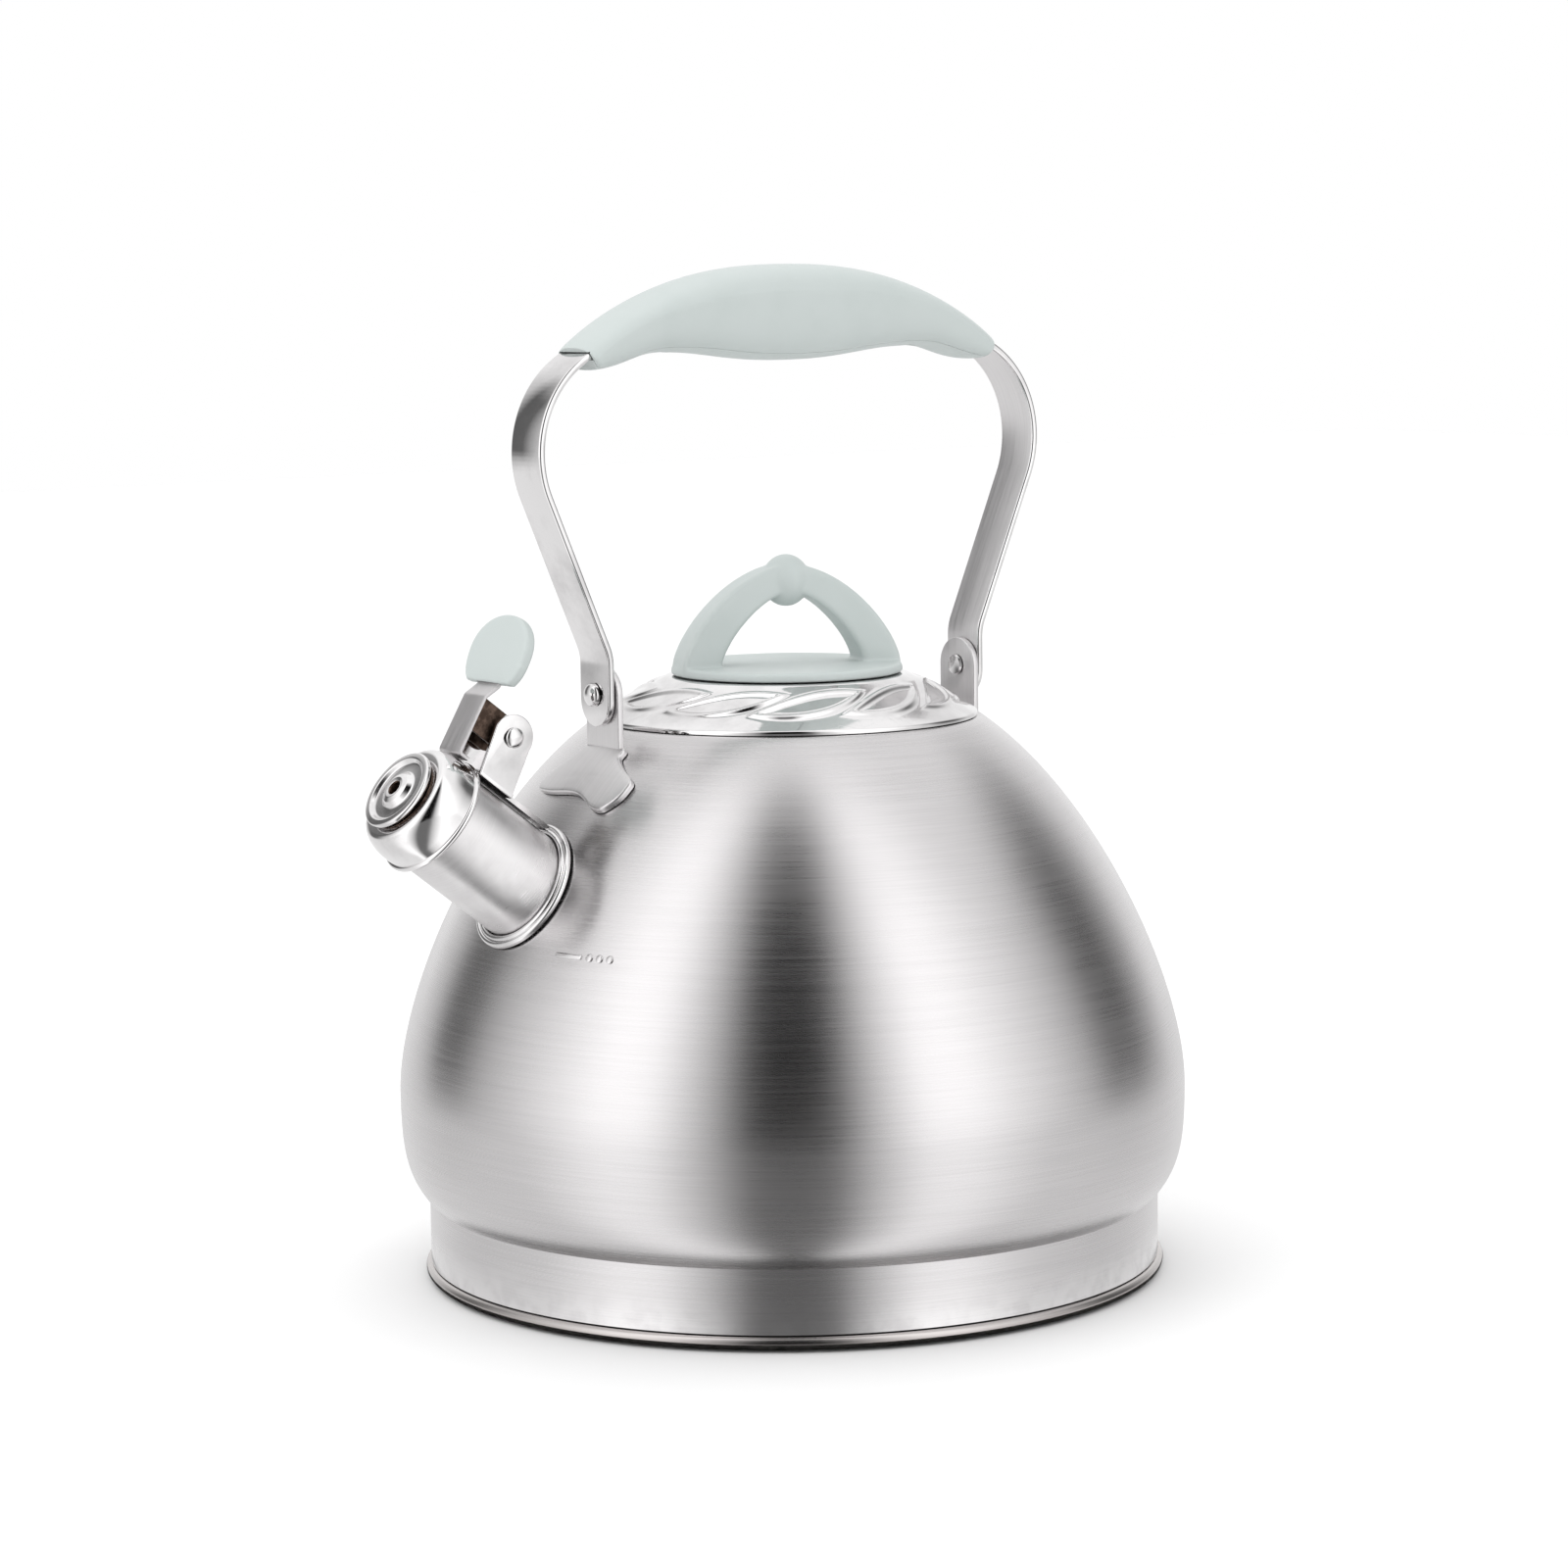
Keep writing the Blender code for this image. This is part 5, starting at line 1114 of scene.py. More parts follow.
def lever_path():
    """The middle of the lever's sheet about the pin: (up, along), from its foot on the cap to its tip."""
    foot_up = WALL_RADIUS + GAP + LEVER_SHEET / 2 - PIN_ABOVE
    corner = (foot_up, LEVER_FACE)
    knee = (LEVER_KNEE_RISE, LEVER_FACE + (LEVER_KNEE_RISE - foot_up) * tan(LEVER_LEAN))
    back, tilt, tab = LEVER_KNEE_BACK, PAD_TILT, LEVER_TAB_LENGTH
    neck = (knee[0] + LEVER_KNEE_LENGTH * cos(back), knee[1] + LEVER_KNEE_LENGTH * sin(back))
    tip = (neck[0] + tab * cos(tilt), neck[1] + tab * sin(tilt))
    start = (foot_up, LEVER_FACE - LEVER_FOOT_LENGTH)
    path = filleted([start, (*corner, 0.0009), (*knee, 0.0014), (*neck, 0.0014), tip], closed=False)
    return path, neck


LEVER_PATH, LEVER_NECK = lever_path()


def lever_along(up):
    ups, alongs = np.array(LEVER_PATH[1:]).T
    return float(np.interp(up, ups, alongs))


def make_lever():
    lever = loose("whistle_lever_surface", swept_mesh(
        "lever", LEVER_PATH, LEVER_HALF_WIDTH, LEVER_SHEET / 2, 0.00025, (False, False)))
    eye = LEVER_EYE_RADIUS
    outline = [(eye, lever_along(eye))] + arc((0.0, 0.0), eye, 0.0, -pi, 32) + [(-eye, lever_along(-eye))]
    sides = []
    for side in (-1, 1):
        near, far = sorted((side * LEVER_HALF_WIDTH, side * (LEVER_HALF_WIDTH - LEVER_SHEET)))
        sides.append(loose("lever_side", prism_mesh("side", outline, near, far, 0.0002)))
    combined(lever, "UNION", *sides)
    reach = Vector((0.0, 2 * LEVER_HALF_WIDTH, 0.0))
    combined(lever, "DIFFERENCE", drill(PIN_RADIUS + GAP, -reach, reach))
    lever.data.transform(ON_PIN)
    finish_piece(lever, "whistle", "brushed_steel", [LEVER_STEEL, BROWNED_AND_PAINTED_SHADE_STEEL], "whistle_lever")
    # Painted shade: the side plates' faces round the pin, set back from the sheet, take the dark steel to stand
    # for the shaded gap there.
    inverse = ON_PIN.inverted()
    for face in lever.data.polygons:
        local = inverse @ face.center
        if local.z < lever_along(local.x) - 0.0016 and local.x > LEVER_PATH[0][0] + 0.0012:
            face.material_index = 1


def make_pad():
    widest = (PAD_HALF_WIDTH, PAD_WIDEST)
    corner = ((PAD_FOOT_HALF_WIDTH + 3 * PAD_HALF_WIDTH) / 4, 0.2 * PAD_WIDEST)
    right = bezier((PAD_FOOT_HALF_WIDTH, 0.0), corner, (PAD_HALF_WIDTH, 0.6 * PAD_WIDEST), widest, 20)
    right += bezier(widest, (PAD_HALF_WIDTH, 0.78 * PAD_HEIGHT), (0.55 * PAD_HALF_WIDTH, PAD_HEIGHT),
                    (0.0, PAD_HEIGHT), 30)[1:]
    outline = right + [(-u, v) for u, v in right[-2::-1]]
    outline += [(u, 0.0) for u in np.linspace(-PAD_FOOT_HALF_WIDTH, PAD_FOOT_HALF_WIDTH, 18)[1:-1]]
    half = PAD_THICKNESS / 2
    back, front, crown = PAD_BACK_ROUND, PAD_FRONT_ROUND, PAD_CROWN
    quarter = np.linspace(0.0, pi / 2, 7)
    layers = [(back, share, -half) for share in (0.0, 0.4, 0.8)]
    layers += [(back - back * sin(a), 1.0, -half + back - back * cos(a)) for a in quarter]
    layers += [(front - front * cos(a), 1.0, half - crown - front + front * sin(a)) for a in quarter]
    layers += [(front, cos(a), half - crown + crown * sin(a) ** 1.5)
               for a in np.linspace(0.0, pi / 2, 10)[1:-1]]
    layers += [(front, 0.0, half)]
    centre = np.array((0.0, 0.46 * PAD_HEIGHT))
    pad = stacked_mesh("pad", outline, centre, layers, lambda u, v, w: (v + PAD_FOOT_GAP, u, w))
    pad = loose("thumb_pad_surface", pad)
    deep, wide = LEVER_SHEET / 2 + GAP, LEVER_HALF_WIDTH + GAP
    low, high = -0.003, LEVER_TAB_LENGTH + GAP
    slot = prism_mesh("slot", [(low, -deep), (high, -deep), (high, deep), (low, deep)], -wide, wide)
    combined(pad, "DIFFERENCE", loose("pad_slot", slot))
    turn = Matrix.Rotation(-PAD_TILT, 4, "Y")
    pad.data.transform(ON_PIN @ Matrix.Translation((LEVER_NECK[0], 0.0, LEVER_NECK[1])) @ turn)
    finish_piece(pad, "whistle", "sage_plastic", PLASTIC, "thumb_pad")


def make_spring():
    """The coil and its front leg go with the whistle; the other leg rests on the bracket."""
    coil = loose("spring_coil", bpy.data.meshes.new("coil"))
    grown(coil, WIRE_COIL, Turns=SPRING_TURNS + 0.25, Coil_Radius=SPRING_COIL_RADIUS,
          Length=2 * SPRING_HALF_WIDTH, Wire_Radius=SPRING_WIRE_RADIUS, Material=SPRING_WIRE)
    radius, wire, half = SPRING_COIL_RADIUS, SPRING_WIRE_RADIUS, SPRING_HALF_WIDTH
    coil.data.transform(Matrix.Translation((0.0, half, 0.0)) @ ACROSS @ Matrix.Rotation(pi / 2, 4, "Z"))
    tidy(coil.data)
    ahead = lever_along(radius) - LEVER_SHEET / 2 - 2 * GAP - wire
    front = drill(wire, (radius, half, -0.0002), (radius, half, ahead), 12)
    combined(coil, "UNION", front)
    coil.data.transform(ON_PIN)
    finish_piece(coil, "whistle", "spring_steel", SPRING_WIRE, "whistle_spring")
    down = PIN_ABOVE - SPOUT_RADIUS - BRACKET_SHEET - 3 * GAP - wire
    leg = drill(wire, (0.0, -half, -radius), (-down, -half, -radius), 12)
    leg.name = "spring_leg"
    leg.data.transform(ON_PIN)
    finish_piece(leg, "kettle", "spring_steel", SPRING_WIRE, "whistle_spring")


# --- Lid ----------------------------------------------------------------------------------------------

def lid_relief(radius, angle):
    """The height of the pressed pattern: a chain of slanting pointed ovals."""
    t = np.clip((radius - SWIRL_INSIDE) / (SWIRL_OUTSIDE - SWIRL_INSIDE), 0.0, 1.0)
    relief = np.zeros(len(angle))
    for whole in (-1, 0, 1):
        across = (angle * SWIRLS / (2 * pi) + 0.5) % 1.0 - 0.5 + whole
        away = np.abs(t - 0.5 + SWIRL_SLANT * across) / SWIRL_HALF_HEIGHT + (across / SWIRL_HALF_LENGTH) ** 2
        relief = np.maximum(relief, np.exp(-((away - 1) / SWIRL_LINE) ** 2))
    return SWIRL_HEIGHT * relief * np.sin(pi * t) ** 0.35


def make_lid():
    path = filleted([
        (LID_RADIUS, 0.0), (LID_RADIUS, LID_EDGE, LID_EDGE),
        (LID_CROWN_RADIUS, LID_RISE, LID_CROWN_BEND), (0.0, LID_RISE),
    ], closed=False, step=radians(6))
    inner = offset_path(path, LID_SHEET)
    slope = [p for p in resampled(path, 0.00042) if p[0] > SWIRL_INSIDE - 0.0012]
    flat = [p for p in path if p[0] <= SWIRL_INSIDE - 0.0012]
    section = slope + flat
    steps = 660
    angles = np.arange(steps) * 2 * pi / steps
    rows = []
    for i, (r, z) in enumerate(section):
        before, after = section[max(0, i - 1)], section[min(len(section) - 1, i + 1)]
        along = Vector(after) - Vector(before)
        normal = Vector((along.y, -along.x)).normalized()
        lift = lid_relief(r, angles) if r > SWIRL_INSIDE - 0.001 and i > 12 else np.zeros(steps)
        reach = r + normal.x * lift
        rows.append(np.stack([reach * np.cos(angles), reach * np.sin(angles), z + normal.y * lift], axis=1))
    for r, z in inner[::-1]:
        rows.append(np.stack([r * np.cos(angles), r * np.sin(angles), np.full(steps, z)], axis=1))
    shell = loose("lid_shell_surface", grid_mesh("lid", rows, close_rows=True))
    holes = [drill(LID_SCREW_RADIUS + GAP, (x, 0.0, 0.004), (x, 0.0, 0.02), 32)
             for x in (-LID_SCREW_OFFSET, LID_SCREW_OFFSET)]
    combined(shell, "DIFFERENCE", *holes)
    shell.data.transform(ON_LID)
    finish_piece(shell, "lid", "polished_steel", MIRROR_STEEL, "lid_shell")

    outer = MOUTH_RADIUS - SKIRT_PLAY
    under = np.array(offset_path(path, LID_SHEET + GAP))[::-1]
    top = [float(np.interp(r, under[:, 0], under[:, 1])) for r in (outer, outer - LID_SHEET)]
    section = filleted([(outer, -SKIRT_DEPTH, 0.0003), (outer, top[0]), (outer - LID_SHEET, top[1]),
                        (outer - LID_SHEET, -SKIRT_DEPTH, 0.0003)])
    skirt = loose("lid_skirt_surface", turned_mesh("skirt", section, 192), ON_LID)
    finish_piece(skirt, "lid", "brushed_steel", BODY_STEEL, "lid_skirt")


def make_knob():
    """The arch, its ball and its round foot as one moulding with soft inner corners."""
    bottom = LID_RISE + GAP
    top = bottom + KNOB_PLATE_THICKNESS
    foot = filleted([
        (0.0, bottom), (KNOB_PLATE_RADIUS, bottom, 0.0006),
        (KNOB_PLATE_RADIUS - 0.0003, top, 0.0008), (0.0, top),
    ])
    knob = loose("lid_knob_surface", turned_mesh("foot", foot, 160))
    span, opening, tall, clear = ARCH_HALF_SPAN, ARCH_HALF_OPENING, ARCH_HEIGHT, ARCH_OPENING_HEIGHT
    outer = bezier((span, 0.0), (0.97 * span, 0.31 * tall), (0.54 * span, 0.95 * tall), (0.0, tall), 40)
    inner = bezier((opening, 0.0), (0.98 * opening, 0.28 * clear), (0.46 * opening, 0.95 * clear),
                   (0.0, clear), 32)
    low = -0.6 * KNOB_PLATE_THICKNESS
    outline = [(span, low)] + outer + [(-u, v) for u, v in outer[-2::-1]] + [(-span, low)]
    outline += [(-opening, low)] + [(-u, v) for u, v in inner] + inner[-2::-1] + [(opening, low)]
    arch = prism_mesh("arch", outline, -ARCH_HALF_DEPTH, ARCH_HALF_DEPTH, 0.0013)
    for vertex in arch.vertices:
        vertex.co.y *= 1 - ARCH_DEPTH_TAPER * max(0.0, vertex.co.z) / ARCH_HALF_DEPTH
    arch = loose("knob_arch", arch, Matrix.Translation((0.0, 0.0, top)))
    half = KNOB_BALL_HALF_HEIGHT
    middle = top + tall + KNOB_BALL_STANDOUT - half
    ball = [(KNOB_BALL_RADIUS * sin(a), middle - half * cos(a)) for a in np.linspace(0.0, pi, 33)]
    ball[0], ball[-1] = (0.0, ball[0][1]), (0.0, ball[-1][1])
    combined(knob, "UNION", arch, loose("knob_ball", turned_mesh("ball", ball, 64)))
    bores = [drill(LID_SCREW_RADIUS + GAP, (x, 0.0, 0.0), (x, 0.0, bottom + LID_SCREW_LENGTH + GAP), 32)
             for x in (-LID_SCREW_OFFSET, LID_SCREW_OFFSET)]
    combined(knob, "DIFFERENCE", *bores)
    remesh = knob.modifiers.new("one_moulding", "REMESH")
    remesh.mode = "VOXEL"
    remesh.voxel_size = 0.00045
    soften = knob.modifiers.new("soft_corners", "SMOOTH")
    soften.factor = 0.5
    soften.iterations = 8
    settle(knob)
    knob.data.transform(ON_LID)
    tidy(knob.data, radians(70))
    finish_piece(knob, "lid", "sage_plastic", PLASTIC, "lid_knob")

    washer_top = LID_RISE - LID_SHEET - GAP
    head_top = washer_top - WASHER_THICKNESS - GAP
    length = LID_RISE + GAP + LID_SCREW_LENGTH - head_top - 0.0002
    section = headed_section(LID_SCREW_RADIUS, length, 0.0036, 0.0020)
    lift = Matrix.Translation((LID_SCREW_OFFSET, 0.0, LID_BOTTOM + head_top))
    screws = loose("knob_screws", turned_mesh("screw", section, 48), lift)
    grown(screws, TURNED_COPIES, Count=2, Pitch=pi, Start=LID_TURN, Material=FASTENER_STEEL)
    finish_piece(screws, "lid", "screw_steel", FASTENER_STEEL, "knob_screw_front", "knob_screw_rear")
    hole = LID_SCREW_RADIUS + GAP
    ring = filleted([(hole, 0.0, 0.0002), (WASHER_RADIUS, 0.0, 0.0002),
                     (WASHER_RADIUS, WASHER_THICKNESS, 0.0002), (hole, WASHER_THICKNESS, 0.0002)])
    lift = Matrix.Translation((LID_SCREW_OFFSET, 0.0, LID_BOTTOM + washer_top - WASHER_THICKNESS))
    washers = loose("knob_washers", turned_mesh("washer", ring, 48), lift)
    grown(washers, TURNED_COPIES, Count=2, Pitch=pi, Start=LID_TURN, Material=FASTENER_STEEL)
    finish_piece(washers, "lid", "screw_steel", FASTENER_STEEL, "knob_washer_front", "knob_washer_rear")


# --- Ears and handle ----------------------------------------------------------------------------------

# The ear's foot spreads over the shoulder like a leaf: (sideways, down the slope) from its neck.
EAR_FOOT = (
    (-0.0078, -0.0030), (-0.0100, 0.0010), (-0.0150, 0.0060), (-0.0182, 0.0102), (-0.0180, 0.0126),
    (-0.0160, 0.0140), (-0.0083, 0.0146), (0.0016, 0.0140), (0.0070, 0.0150), (0.0125, 0.0172),
    (0.0165, 0.0168), (0.0196, 0.0128), (0.0204, 0.0086), (0.0196, 0.0060), (0.0140, 0.0034),
    (0.0098, 0.0006), (0.0078, -0.0030),
)


def on_shoulder(u, v, level):
    """A point of the foot's outline laid on the shoulder, level above it."""
    outer = EAR_REACH + EAR_SHEET
    neck = Vector((outer, 0.0, dome_height(outer)))
    run = 0.0060
    down = Vector((run, 0.0, dome_height(outer + run) - neck.z)).normalized()
    normal = Vector((-down.z, 0.0, down.x))
    base = neck + Vector((0.0, u, 0.0)) + down * v
    low, high = -0.012, 0.012
    for _ in range(24):
        middle = (low + high) / 2
        if above_shoulder(base + normal * middle) < GAP + level:
            low = middle
        else:
            high = middle
    return tuple(base + normal * low)


def make_ears():
    half = EAR_WIDTH / 2
    outer = EAR_REACH + EAR_SHEET
    foot_z = dome_height(EAR_REACH) + GAP + 0.0004
    outline = arc((0.0, PIVOT_HEIGHT), half, 0.0, pi, 40) + [(-half, foot_z), (half, foot_z)]
    sheet = EAR_FOOT_SHEET
    layers = [(0.0, share, 0.0) for share in (0.0, 0.35, 0.7)]
    layers += [(0.0, 1.0, level) for level in (0.0, 0.5 * sheet)]
    edge = EAR_FOOT_ROUND
    layers += [(edge - edge * cos(a), 1.0, sheet - edge + edge * sin(a)) for a in np.linspace(0.0, pi / 2, 6)]
    layers += [(edge, share, sheet) for share in (0.85, 0.7, 0.5, 0.25, 0.0)]
    leaf = smooth_loop(EAR_FOOT, 6)
    for side, turn in (("front", pi), ("rear", 0.0)):
        ear = loose(f"{side}_ear_surface", prism_mesh("plate", outline, EAR_REACH, outer, 0.0003, "x"))
        foot = loose("ear_foot", stacked_mesh("foot", leaf, np.array((0.001, 0.0085)), layers, on_shoulder))
        combined(ear, "UNION", foot)
        ends = [Vector((x, 0.0, PIVOT_HEIGHT)) for x in (EAR_REACH - 0.003, outer + 0.003)]
        combined(ear, "DIFFERENCE", drill(RIVET_RADIUS + PIVOT_PLAY, *ends))
        ear.data.transform(Matrix.Rotation(turn, 4, "Z"))
        finish_piece(ear, "kettle", "brushed_steel", SHEET_STEEL, f"{side}_ear")

    face = STRAP_FACE + GAP
    shank = face - EAR_REACH + GAP
    section = headed_section(RIVET_RADIUS, shank, RIVET_HEAD_RADIUS, RIVET_HEAD_HEIGHT,
                             (RIVET_TAIL_RADIUS, RIVET_TAIL_HEIGHT))
    place = Matrix.Translation((face, 0.0, PIVOT_HEIGHT)) @ Matrix.Rotation(-pi / 2, 4, "Y")
    rivets = loose("handle_rivets", turned_mesh("rivet", section, 64), place)
    grown(rivets, TURNED_COPIES, Count=2, Pitch=pi, Start=0.0, Material=BRIGHT_STEEL)
    finish_piece(rivets, "kettle", "polished_steel", BRIGHT_STEEL, "front_handle_rivet", "rear_handle_rivet")


def strap_face():
    """The strap's outer face about the pivots, from one end over the top to the other."""
    bend = STRAP_BEND_ABOVE_PIVOT
    level = STRAP_RISE - STRAP_CORNER_DROP
    corner = STRAP_FACE + (level - bend) * tan(STRAP_LEAN)
    right = [(STRAP_FACE, -STRAP_TAIL), (STRAP_FACE, bend, STRAP_BEND_RADIUS),
             (corner, level, STRAP_CORNER_RADIUS)]
    left = [(-p[0], *p[1:]) for p in right[::-1]]
    return filleted(right + [(0.0, STRAP_RISE, STRAP_TOP_RADIUS)] + left, closed=False, step=radians(2.5))


def grip_bottom():
    """Half of the grip's underside: a belly at the middle, a shallow waist and a low end."""
    waist_at = GRIP_WAIST_SHARE * GRIP_HALF_LENGTH
    rest = GRIP_HALF_LENGTH - waist_at
    belly, waist, end = (STRAP_RISE - d for d in (GRIP_BELLY_DEPTH, GRIP_WAIST_DEPTH, GRIP_END_DEPTH))
    inner = bezier((0.0, belly), (0.5 * waist_at, belly), (0.6 * waist_at, waist), (waist_at, waist), 20)
    outer = bezier((waist_at, waist), (waist_at + 0.4 * rest, waist), (GRIP_HALF_LENGTH - 0.5 * rest, end),
                   (GRIP_HALF_LENGTH, end), 20)
    return np.array(inner + outer[1:]).T


GRIP_BOTTOM = grip_bottom()


def grip_ring(x, shrink):
    share = min(1.0, abs(x / GRIP_HALF_LENGTH)) ** GRIP_FULLNESS
    top = STRAP_RISE + GRIP_RISE - GRIP_END_FALL * share
    low = float(np.interp(abs(x), *GRIP_BOTTOM))
    crease = GRIP_CREASE - GRIP_CREASE_FALL * min(1.0, abs(x / GRIP_HALF_LENGTH)) ** GRIP_CREASE_FULLNESS
    width = GRIP_HALF_WIDTH + (GRIP_END_HALF_WIDTH - GRIP_HALF_WIDTH) * share
    over, under = top - crease, crease - low
    right = bezier((0.0, top), (0.74 * width, top), (0.95 * width, crease + 0.48 * over), (width, crease), 18)
    right += bezier((width, crease), (0.98 * width, crease - 0.50 * under), (0.97 * width, low),
                    (0.0, low), 22)[1:]
    ring = right + [(-u, v) for u, v in right[-2:0:-1]]
    middle = (top + low) / 2
    lean = GRIP_END_LEAN * (x / GRIP_HALF_LENGTH) ** 7 / (top - low)
    return [(x - lean * (top - v), u * shrink, middle + (v - middle) * shrink) for u, v in ring]


def grip_mesh():
    end = GRIP_END_ROUND
    straight = GRIP_HALF_LENGTH - end
    places = [(x, 1.0) for x in np.linspace(-straight, straight, 110)]
    round_end = [(straight + end * sin(a), 1 - 0.06 * (1 - cos(a))) for a in np.linspace(0.0, pi / 2, 8)[1:]]
    places = [(-x, s) for x, s in round_end[::-1]] + places + round_end
    return grid_mesh("grip", [grip_ring(x, s) for x, s in places], cap_ends=True)


def below(path, clearance):
    """The outline of everything under a face of the strap, out to a clearance from it."""
    face = [p for p in offset_path(path, clearance) if p[1] > STRAP_RISE / 3]
    return face + [(face[-1][0], STRAP_RISE / 5), (face[0][0], STRAP_RISE / 5)]


def make_handle():
    path = strap_face()
    strap = loose("handle_strap_surface", swept_mesh(
        "strap", offset_path(path, STRAP_SHEET / 2), STRAP_WIDTH / 2, STRAP_SHEET / 2, 0.00075))
    reach = STRAP_FACE + 0.004
    combined(strap, "DIFFERENCE", drill(RIVET_RADIUS + PIVOT_PLAY, (-reach, 0.0, 0.0), (reach, 0.0, 0.0)))
    shell = loose("grip_shell_surface", grip_mesh())
    half = STRAP_WIDTH / 2
    channel = prism_mesh("channel", below(path, -GAP), -half - GAP, half + GAP)
    combined(shell, "DIFFERENCE", loose("channel", channel))
    cover = loose("grip_cover_surface", grip_mesh())
    plug = prism_mesh("plug", below(offset_path(path, STRAP_SHEET), GAP), -half, half)
    combined(cover, "INTERSECT", loose("plug", plug))

    x = GRIP_SCREW_OFFSET
    seat = float(np.interp(x, *GRIP_BOTTOM)) + GRIP_SCREW_HEAD_HEIGHT + GRIP_SCREW_HEAD_SINK
    length = STRAP_RISE + GRIP_SCREW_BITE - seat
    bores = [(GRIP_SCREW_RADIUS + GAP, seat - 0.003, seat + length + GAP, 40)]
    sinks = [(GRIP_SCREW_HEAD_RADIUS + GAP, STRAP_RISE / 2, seat + GAP, 64)]
    for piece, holes in ((shell, bores), (strap, bores), (cover, bores + sinks)):
        tools = [drill(radius, (a, 0.0, low), (a, 0.0, high), steps)
                 for radius, low, high, steps in holes for a in (-x, x)]
        combined(piece, "DIFFERENCE", *tools)
        piece.data.transform(ON_PIVOTS)
    finish_piece(strap, "handle", "brushed_steel", [MIRROR_STEEL, SHEET_STEEL], "handle_strap")
    heart = Vector((0.0, 0.0, PIVOT_HEIGHT + 0.05))
    for face in strap.data.polygons:
        if abs(face.normal.y) < 0.3 and face.normal.dot(face.center - heart) < 0.0:
            face.material_index = 1
    finish_piece(shell, "handle", "sage_plastic", PLASTIC, "grip_shell")
    finish_piece(cover, "handle", "sage_plastic", PLASTIC, "grip_cover")
    section = headed_section(GRIP_SCREW_RADIUS, length - 0.0002, GRIP_SCREW_HEAD_RADIUS, GRIP_SCREW_HEAD_HEIGHT)
    lift = Matrix.Translation((x, 0.0, PIVOT_HEIGHT + seat))
    screws = loose("grip_screws", turned_mesh("screw", section, 48), lift)
    grown(screws, TURNED_COPIES, Count=2, Pitch=pi, Start=0.0, Material=FASTENER_STEEL)
    finish_piece(screws, "handle", "screw_steel", FASTENER_STEEL, "grip_screw_front", "grip_screw_rear")


make_body()
make_fill_mark()
make_base()
make_spout()
make_bracket()
make_cap()
make_lever()
make_pad()
make_spring()
make_lid()
make_knob()
make_ears()
make_handle()


# --- Studio -------------------------------------------------------------------------------------------

CONTACT_RADIUS = 0.1085


def make_floor():
    """White paper, which reflections don't see, over a hidden unlit disc that reflections see as black: painted
    shade for the base's contact with the floor.
    """
    size, steps = 8.0, 24
    row = steps + 1
    places = [size * (i / steps - 0.5) for i in range(row)]
    faces = []
    for corner in (j * row + i for j in range(steps) for i in range(steps)):
        faces.append((corner, corner + 1, corner + row + 1, corner + row))
    mesh = bpy.data.meshes.new("floor")
    mesh.from_pydata([(x, y, 0.0) for y in places for x in places], [], faces)
    mesh.materials.append(plain_floor("studio_paper"))
    floor = bpy.data.objects.new("studio_floor", mesh)
    bpy.context.scene.collection.objects.link(floor)
    floor.visible_glossy = False
    # Painted shade: the disc lies under the paper, so only reflections reach it, and they find it dark.
    top, bottom, radius = -0.0001, -0.0006, CONTACT_RADIUS
    disc = turned_mesh("contact", [(0.0, bottom), (radius, bottom), (radius, top), (0.0, top)], 96)
    disc = loose("painted_contact_shade_disc", disc)
    disc.data.materials.append(mesh.materials[0])


# The ring of light: (degrees from the camera's side, brightness).
FACING = (
    (-84, 1.0), (-70, 1.32), (-56, 1.65), (-43, 1.6), (-31, 1.0), (-22, 0.55), (-15, 0.10), (-12, 0.0),
    (9, 0.0), (14, 0.10), (20, 0.55), (27, 0.95), (39, 1.6), (52, 1.6), (65, 1.3), (79, 1.0),
)
DARK_LEFT = ((-180, 1.0), (-153, 0.95), (-137, 0.65), (-126, 0.12), (-114, 0.14), (-101, 0.62))
DARK_RIGHT = ((95, 0.62), (107, 0.14), (120, 0.10), (132, 0.4), (145, 0.85), (165, 1.0), (180, 1.0))
LIGHT_LEFT = ((-180, 1.1), (-110, 1.0))
LIGHT_RIGHT = ((110, 1.0), (180, 1.1))
CAMERA_SIDE = radians(234.1)


def grey(value):
    return value, value, value, 1.0


def ring_of_light(w, place, stops):
    """Brightness round the horizon, from (degrees from the camera's side, value) pairs."""
    ramp = w.node("ShaderNodeValToRGB")
    ramp.color_ramp.interpolation = "LINEAR"
    while len(ramp.color_ramp.elements) > 1:
        ramp.color_ramp.elements.remove(ramp.color_ramp.elements[-1])
    for i, (degrees, value) in enumerate(stops):
        position = (degrees + 180) / 360
        stop = ramp.color_ramp.elements[0] if i == 0 else ramp.color_ramp.elements.new(position)
        stop.position = position
        stop.color = grey(value)
    w.feed(ramp.inputs["Fac"], place)
    return ramp.outputs["Color"]


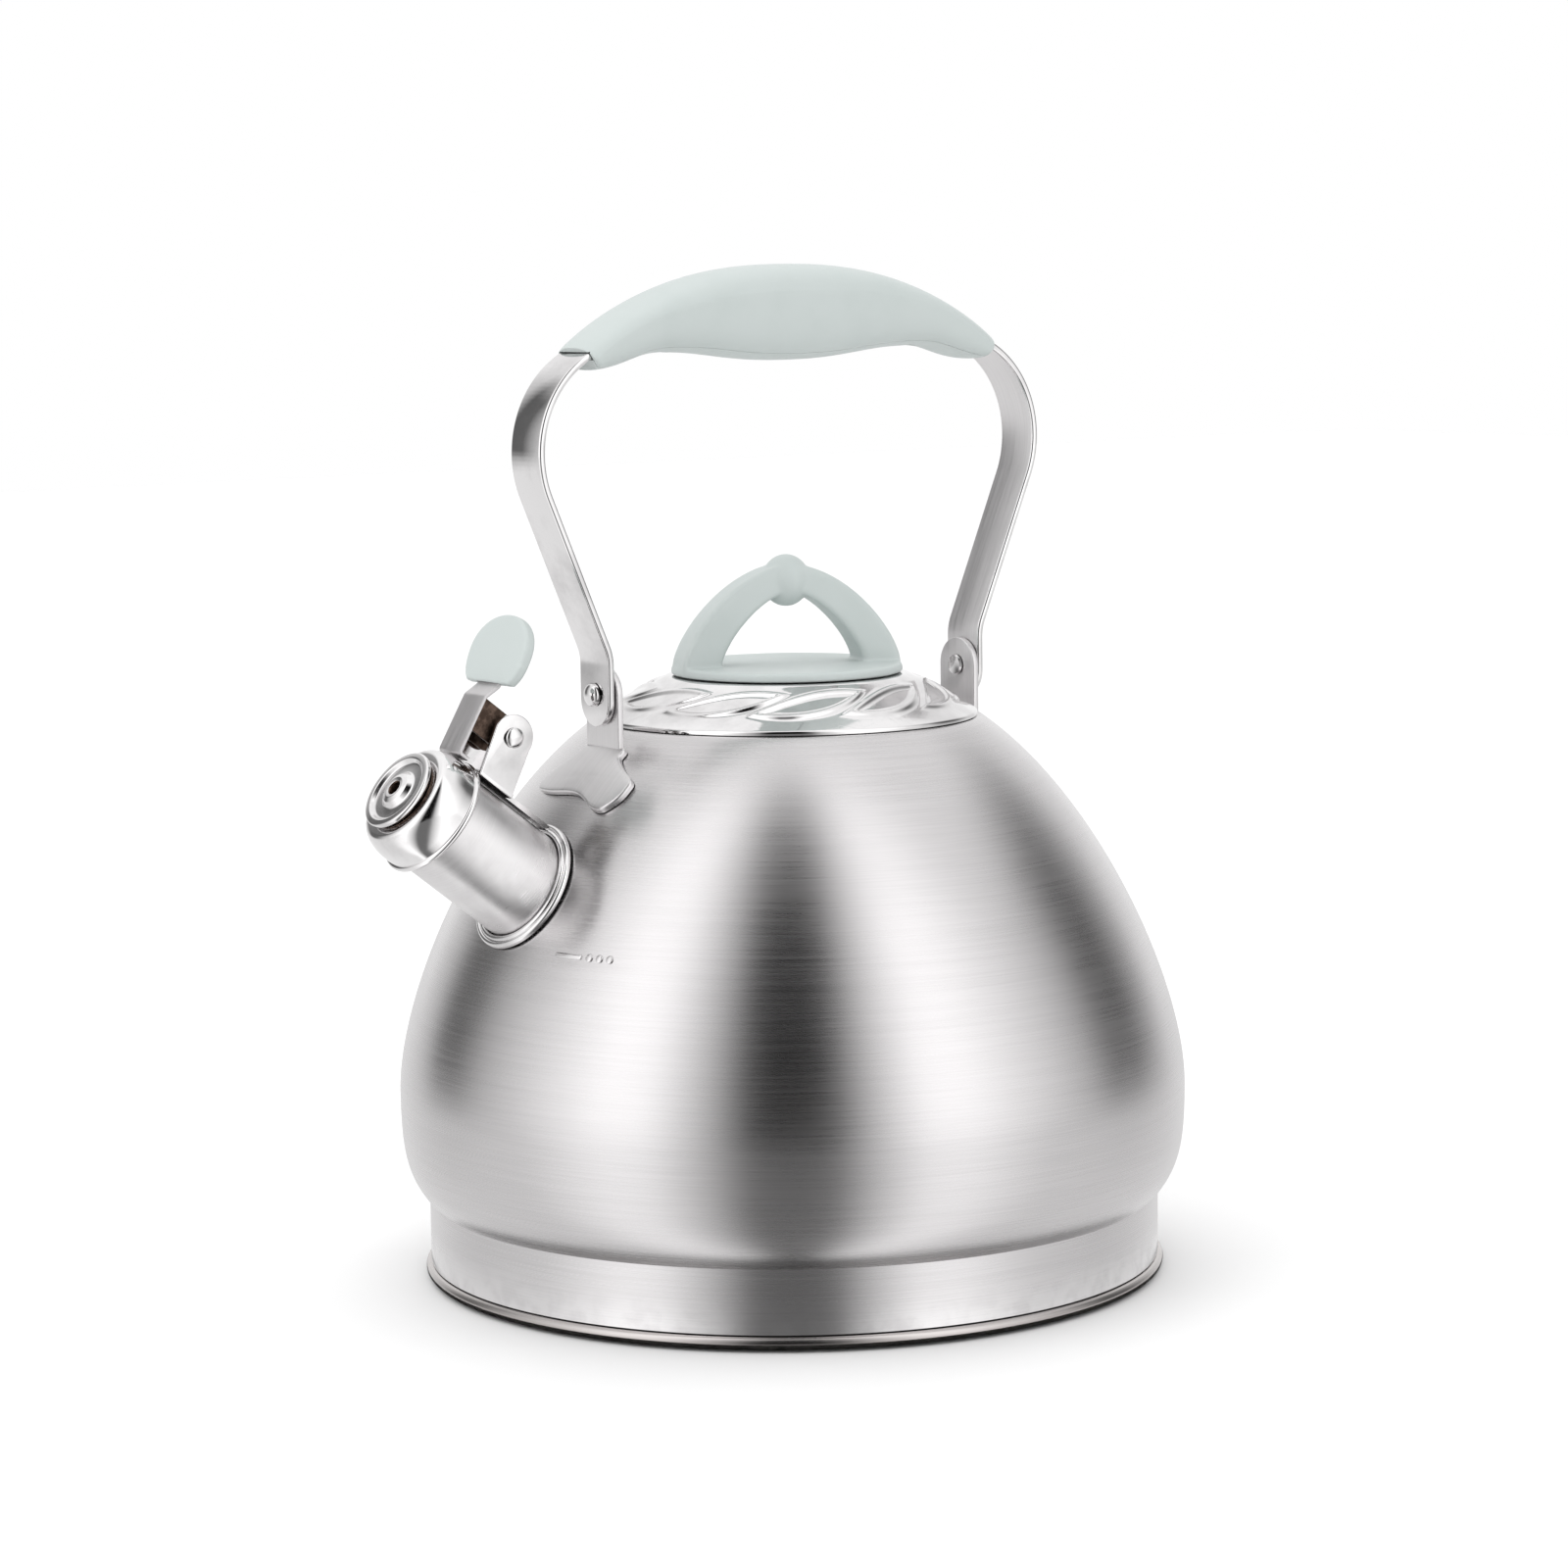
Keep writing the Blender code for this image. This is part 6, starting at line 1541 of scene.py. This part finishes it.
def make_world():
    """Soft boxes all round with dark gaps between them; the camera sees plain white behind the kettle."""
    world = bpy.data.worlds.new("studio")
    world.use_nodes = True
    bpy.context.scene.world = world
    w = Wires(world.node_tree)
    background = world.node_tree.nodes["Background"]
    apart = w.node("ShaderNodeSeparateXYZ")
    w.feed(apart.inputs["Vector"], w.node("ShaderNodeTexCoord").outputs["Generated"])
    x, y, z = apart.outputs
    angle = w.maths("SUBTRACT", w.maths("ARCTAN2", y, x), CAMERA_SIDE - 2 * pi)
    angle = w.maths("WRAP", angle, pi, -pi)
    degrees = w.maths("MULTIPLY", angle, 180 / pi)
    place = w.maths("MULTIPLY_ADD", degrees, 1 / 360, 0.5)
    with_sides = ring_of_light(w, place, DARK_LEFT + FACING + DARK_RIGHT)
    without = ring_of_light(w, place, LIGHT_LEFT + FACING + LIGHT_RIGHT)
    height = w.maths("MULTIPLY", w.maths("ARCSINE", z), 180 / pi)
    above, under = w.ranged(height, -12.0, 1.0, 0.0, 1.0), w.ranged(height, 26.0, 50.0, 1.0, 0.0)
    ring = w.mixed(w.maths("MULTIPLY", above, under), without, with_sides)
    ring = w.mixed(w.ranged(height, 62.0, 88.0, 0.0, 1.0), ring, grey(1.15))
    ring = w.mixed(w.ranged(height, -6.0, -1.0, 0.32, 0.0), ring, grey(0.52))
    rays = w.node("ShaderNodeLightPath")
    seen = w.mixed(rays.outputs["Is Glossy Ray"], grey(1.13), ring)
    w.feed(background.inputs["Color"], w.mixed(rays.outputs["Is Camera Ray"], seen, grey(1.0)))
    background.inputs["Strength"].default_value = 1.0


def soft_light(name, place, size, power):
    """A square light aimed at the kettle's lower half, which reflections don't see."""
    data = bpy.data.lights.new(name, "AREA")
    data.shape = "SQUARE"
    data.size = size
    data.energy = power
    light = bpy.data.objects.new(name, data)
    bpy.context.scene.collection.objects.link(light)
    light.visible_glossy = False
    aim = Vector(place) - Vector((0.0, 0.0, 0.1))
    light.matrix_world = Matrix.Translation(place) @ aim.to_track_quat("Z", "Y").to_matrix().to_4x4()


def make_camera():
    data = bpy.data.cameras.new("camera")
    data.sensor_width = 36.0
    data.lens = 98.01
    data.clip_start = 0.05
    data.clip_end = 20.0
    right = Vector((0.99979, -0.01566, -0.01350))
    ahead = Vector((0.01390, 0.99241, -0.12219))
    upward = Vector((0.01531, 0.12198, 0.99241))
    turn = Matrix.Rotation(radians(-35), 3, "Z")
    columns = [turn @ right, turn @ upward, turn @ -ahead]
    camera = bpy.data.objects.new("camera", data)
    bpy.context.scene.collection.objects.link(camera)
    place = turn @ Vector((-0.01774, -1.17842, 0.28066))
    camera.matrix_world = Matrix.Translation(place) @ Matrix(columns).transposed().to_4x4()
    bpy.context.scene.camera = camera


make_floor()
make_world()
soft_light("left_window", (-1.5, -0.1, 1.2), 1.2, 4.5)
soft_light("overhead", (0.2, 0.3, 1.8), 1.6, 5.0)
make_camera()
bpy.context.scene.view_settings.view_transform = "Standard"
bpy.context.scene.view_settings.look = "None"
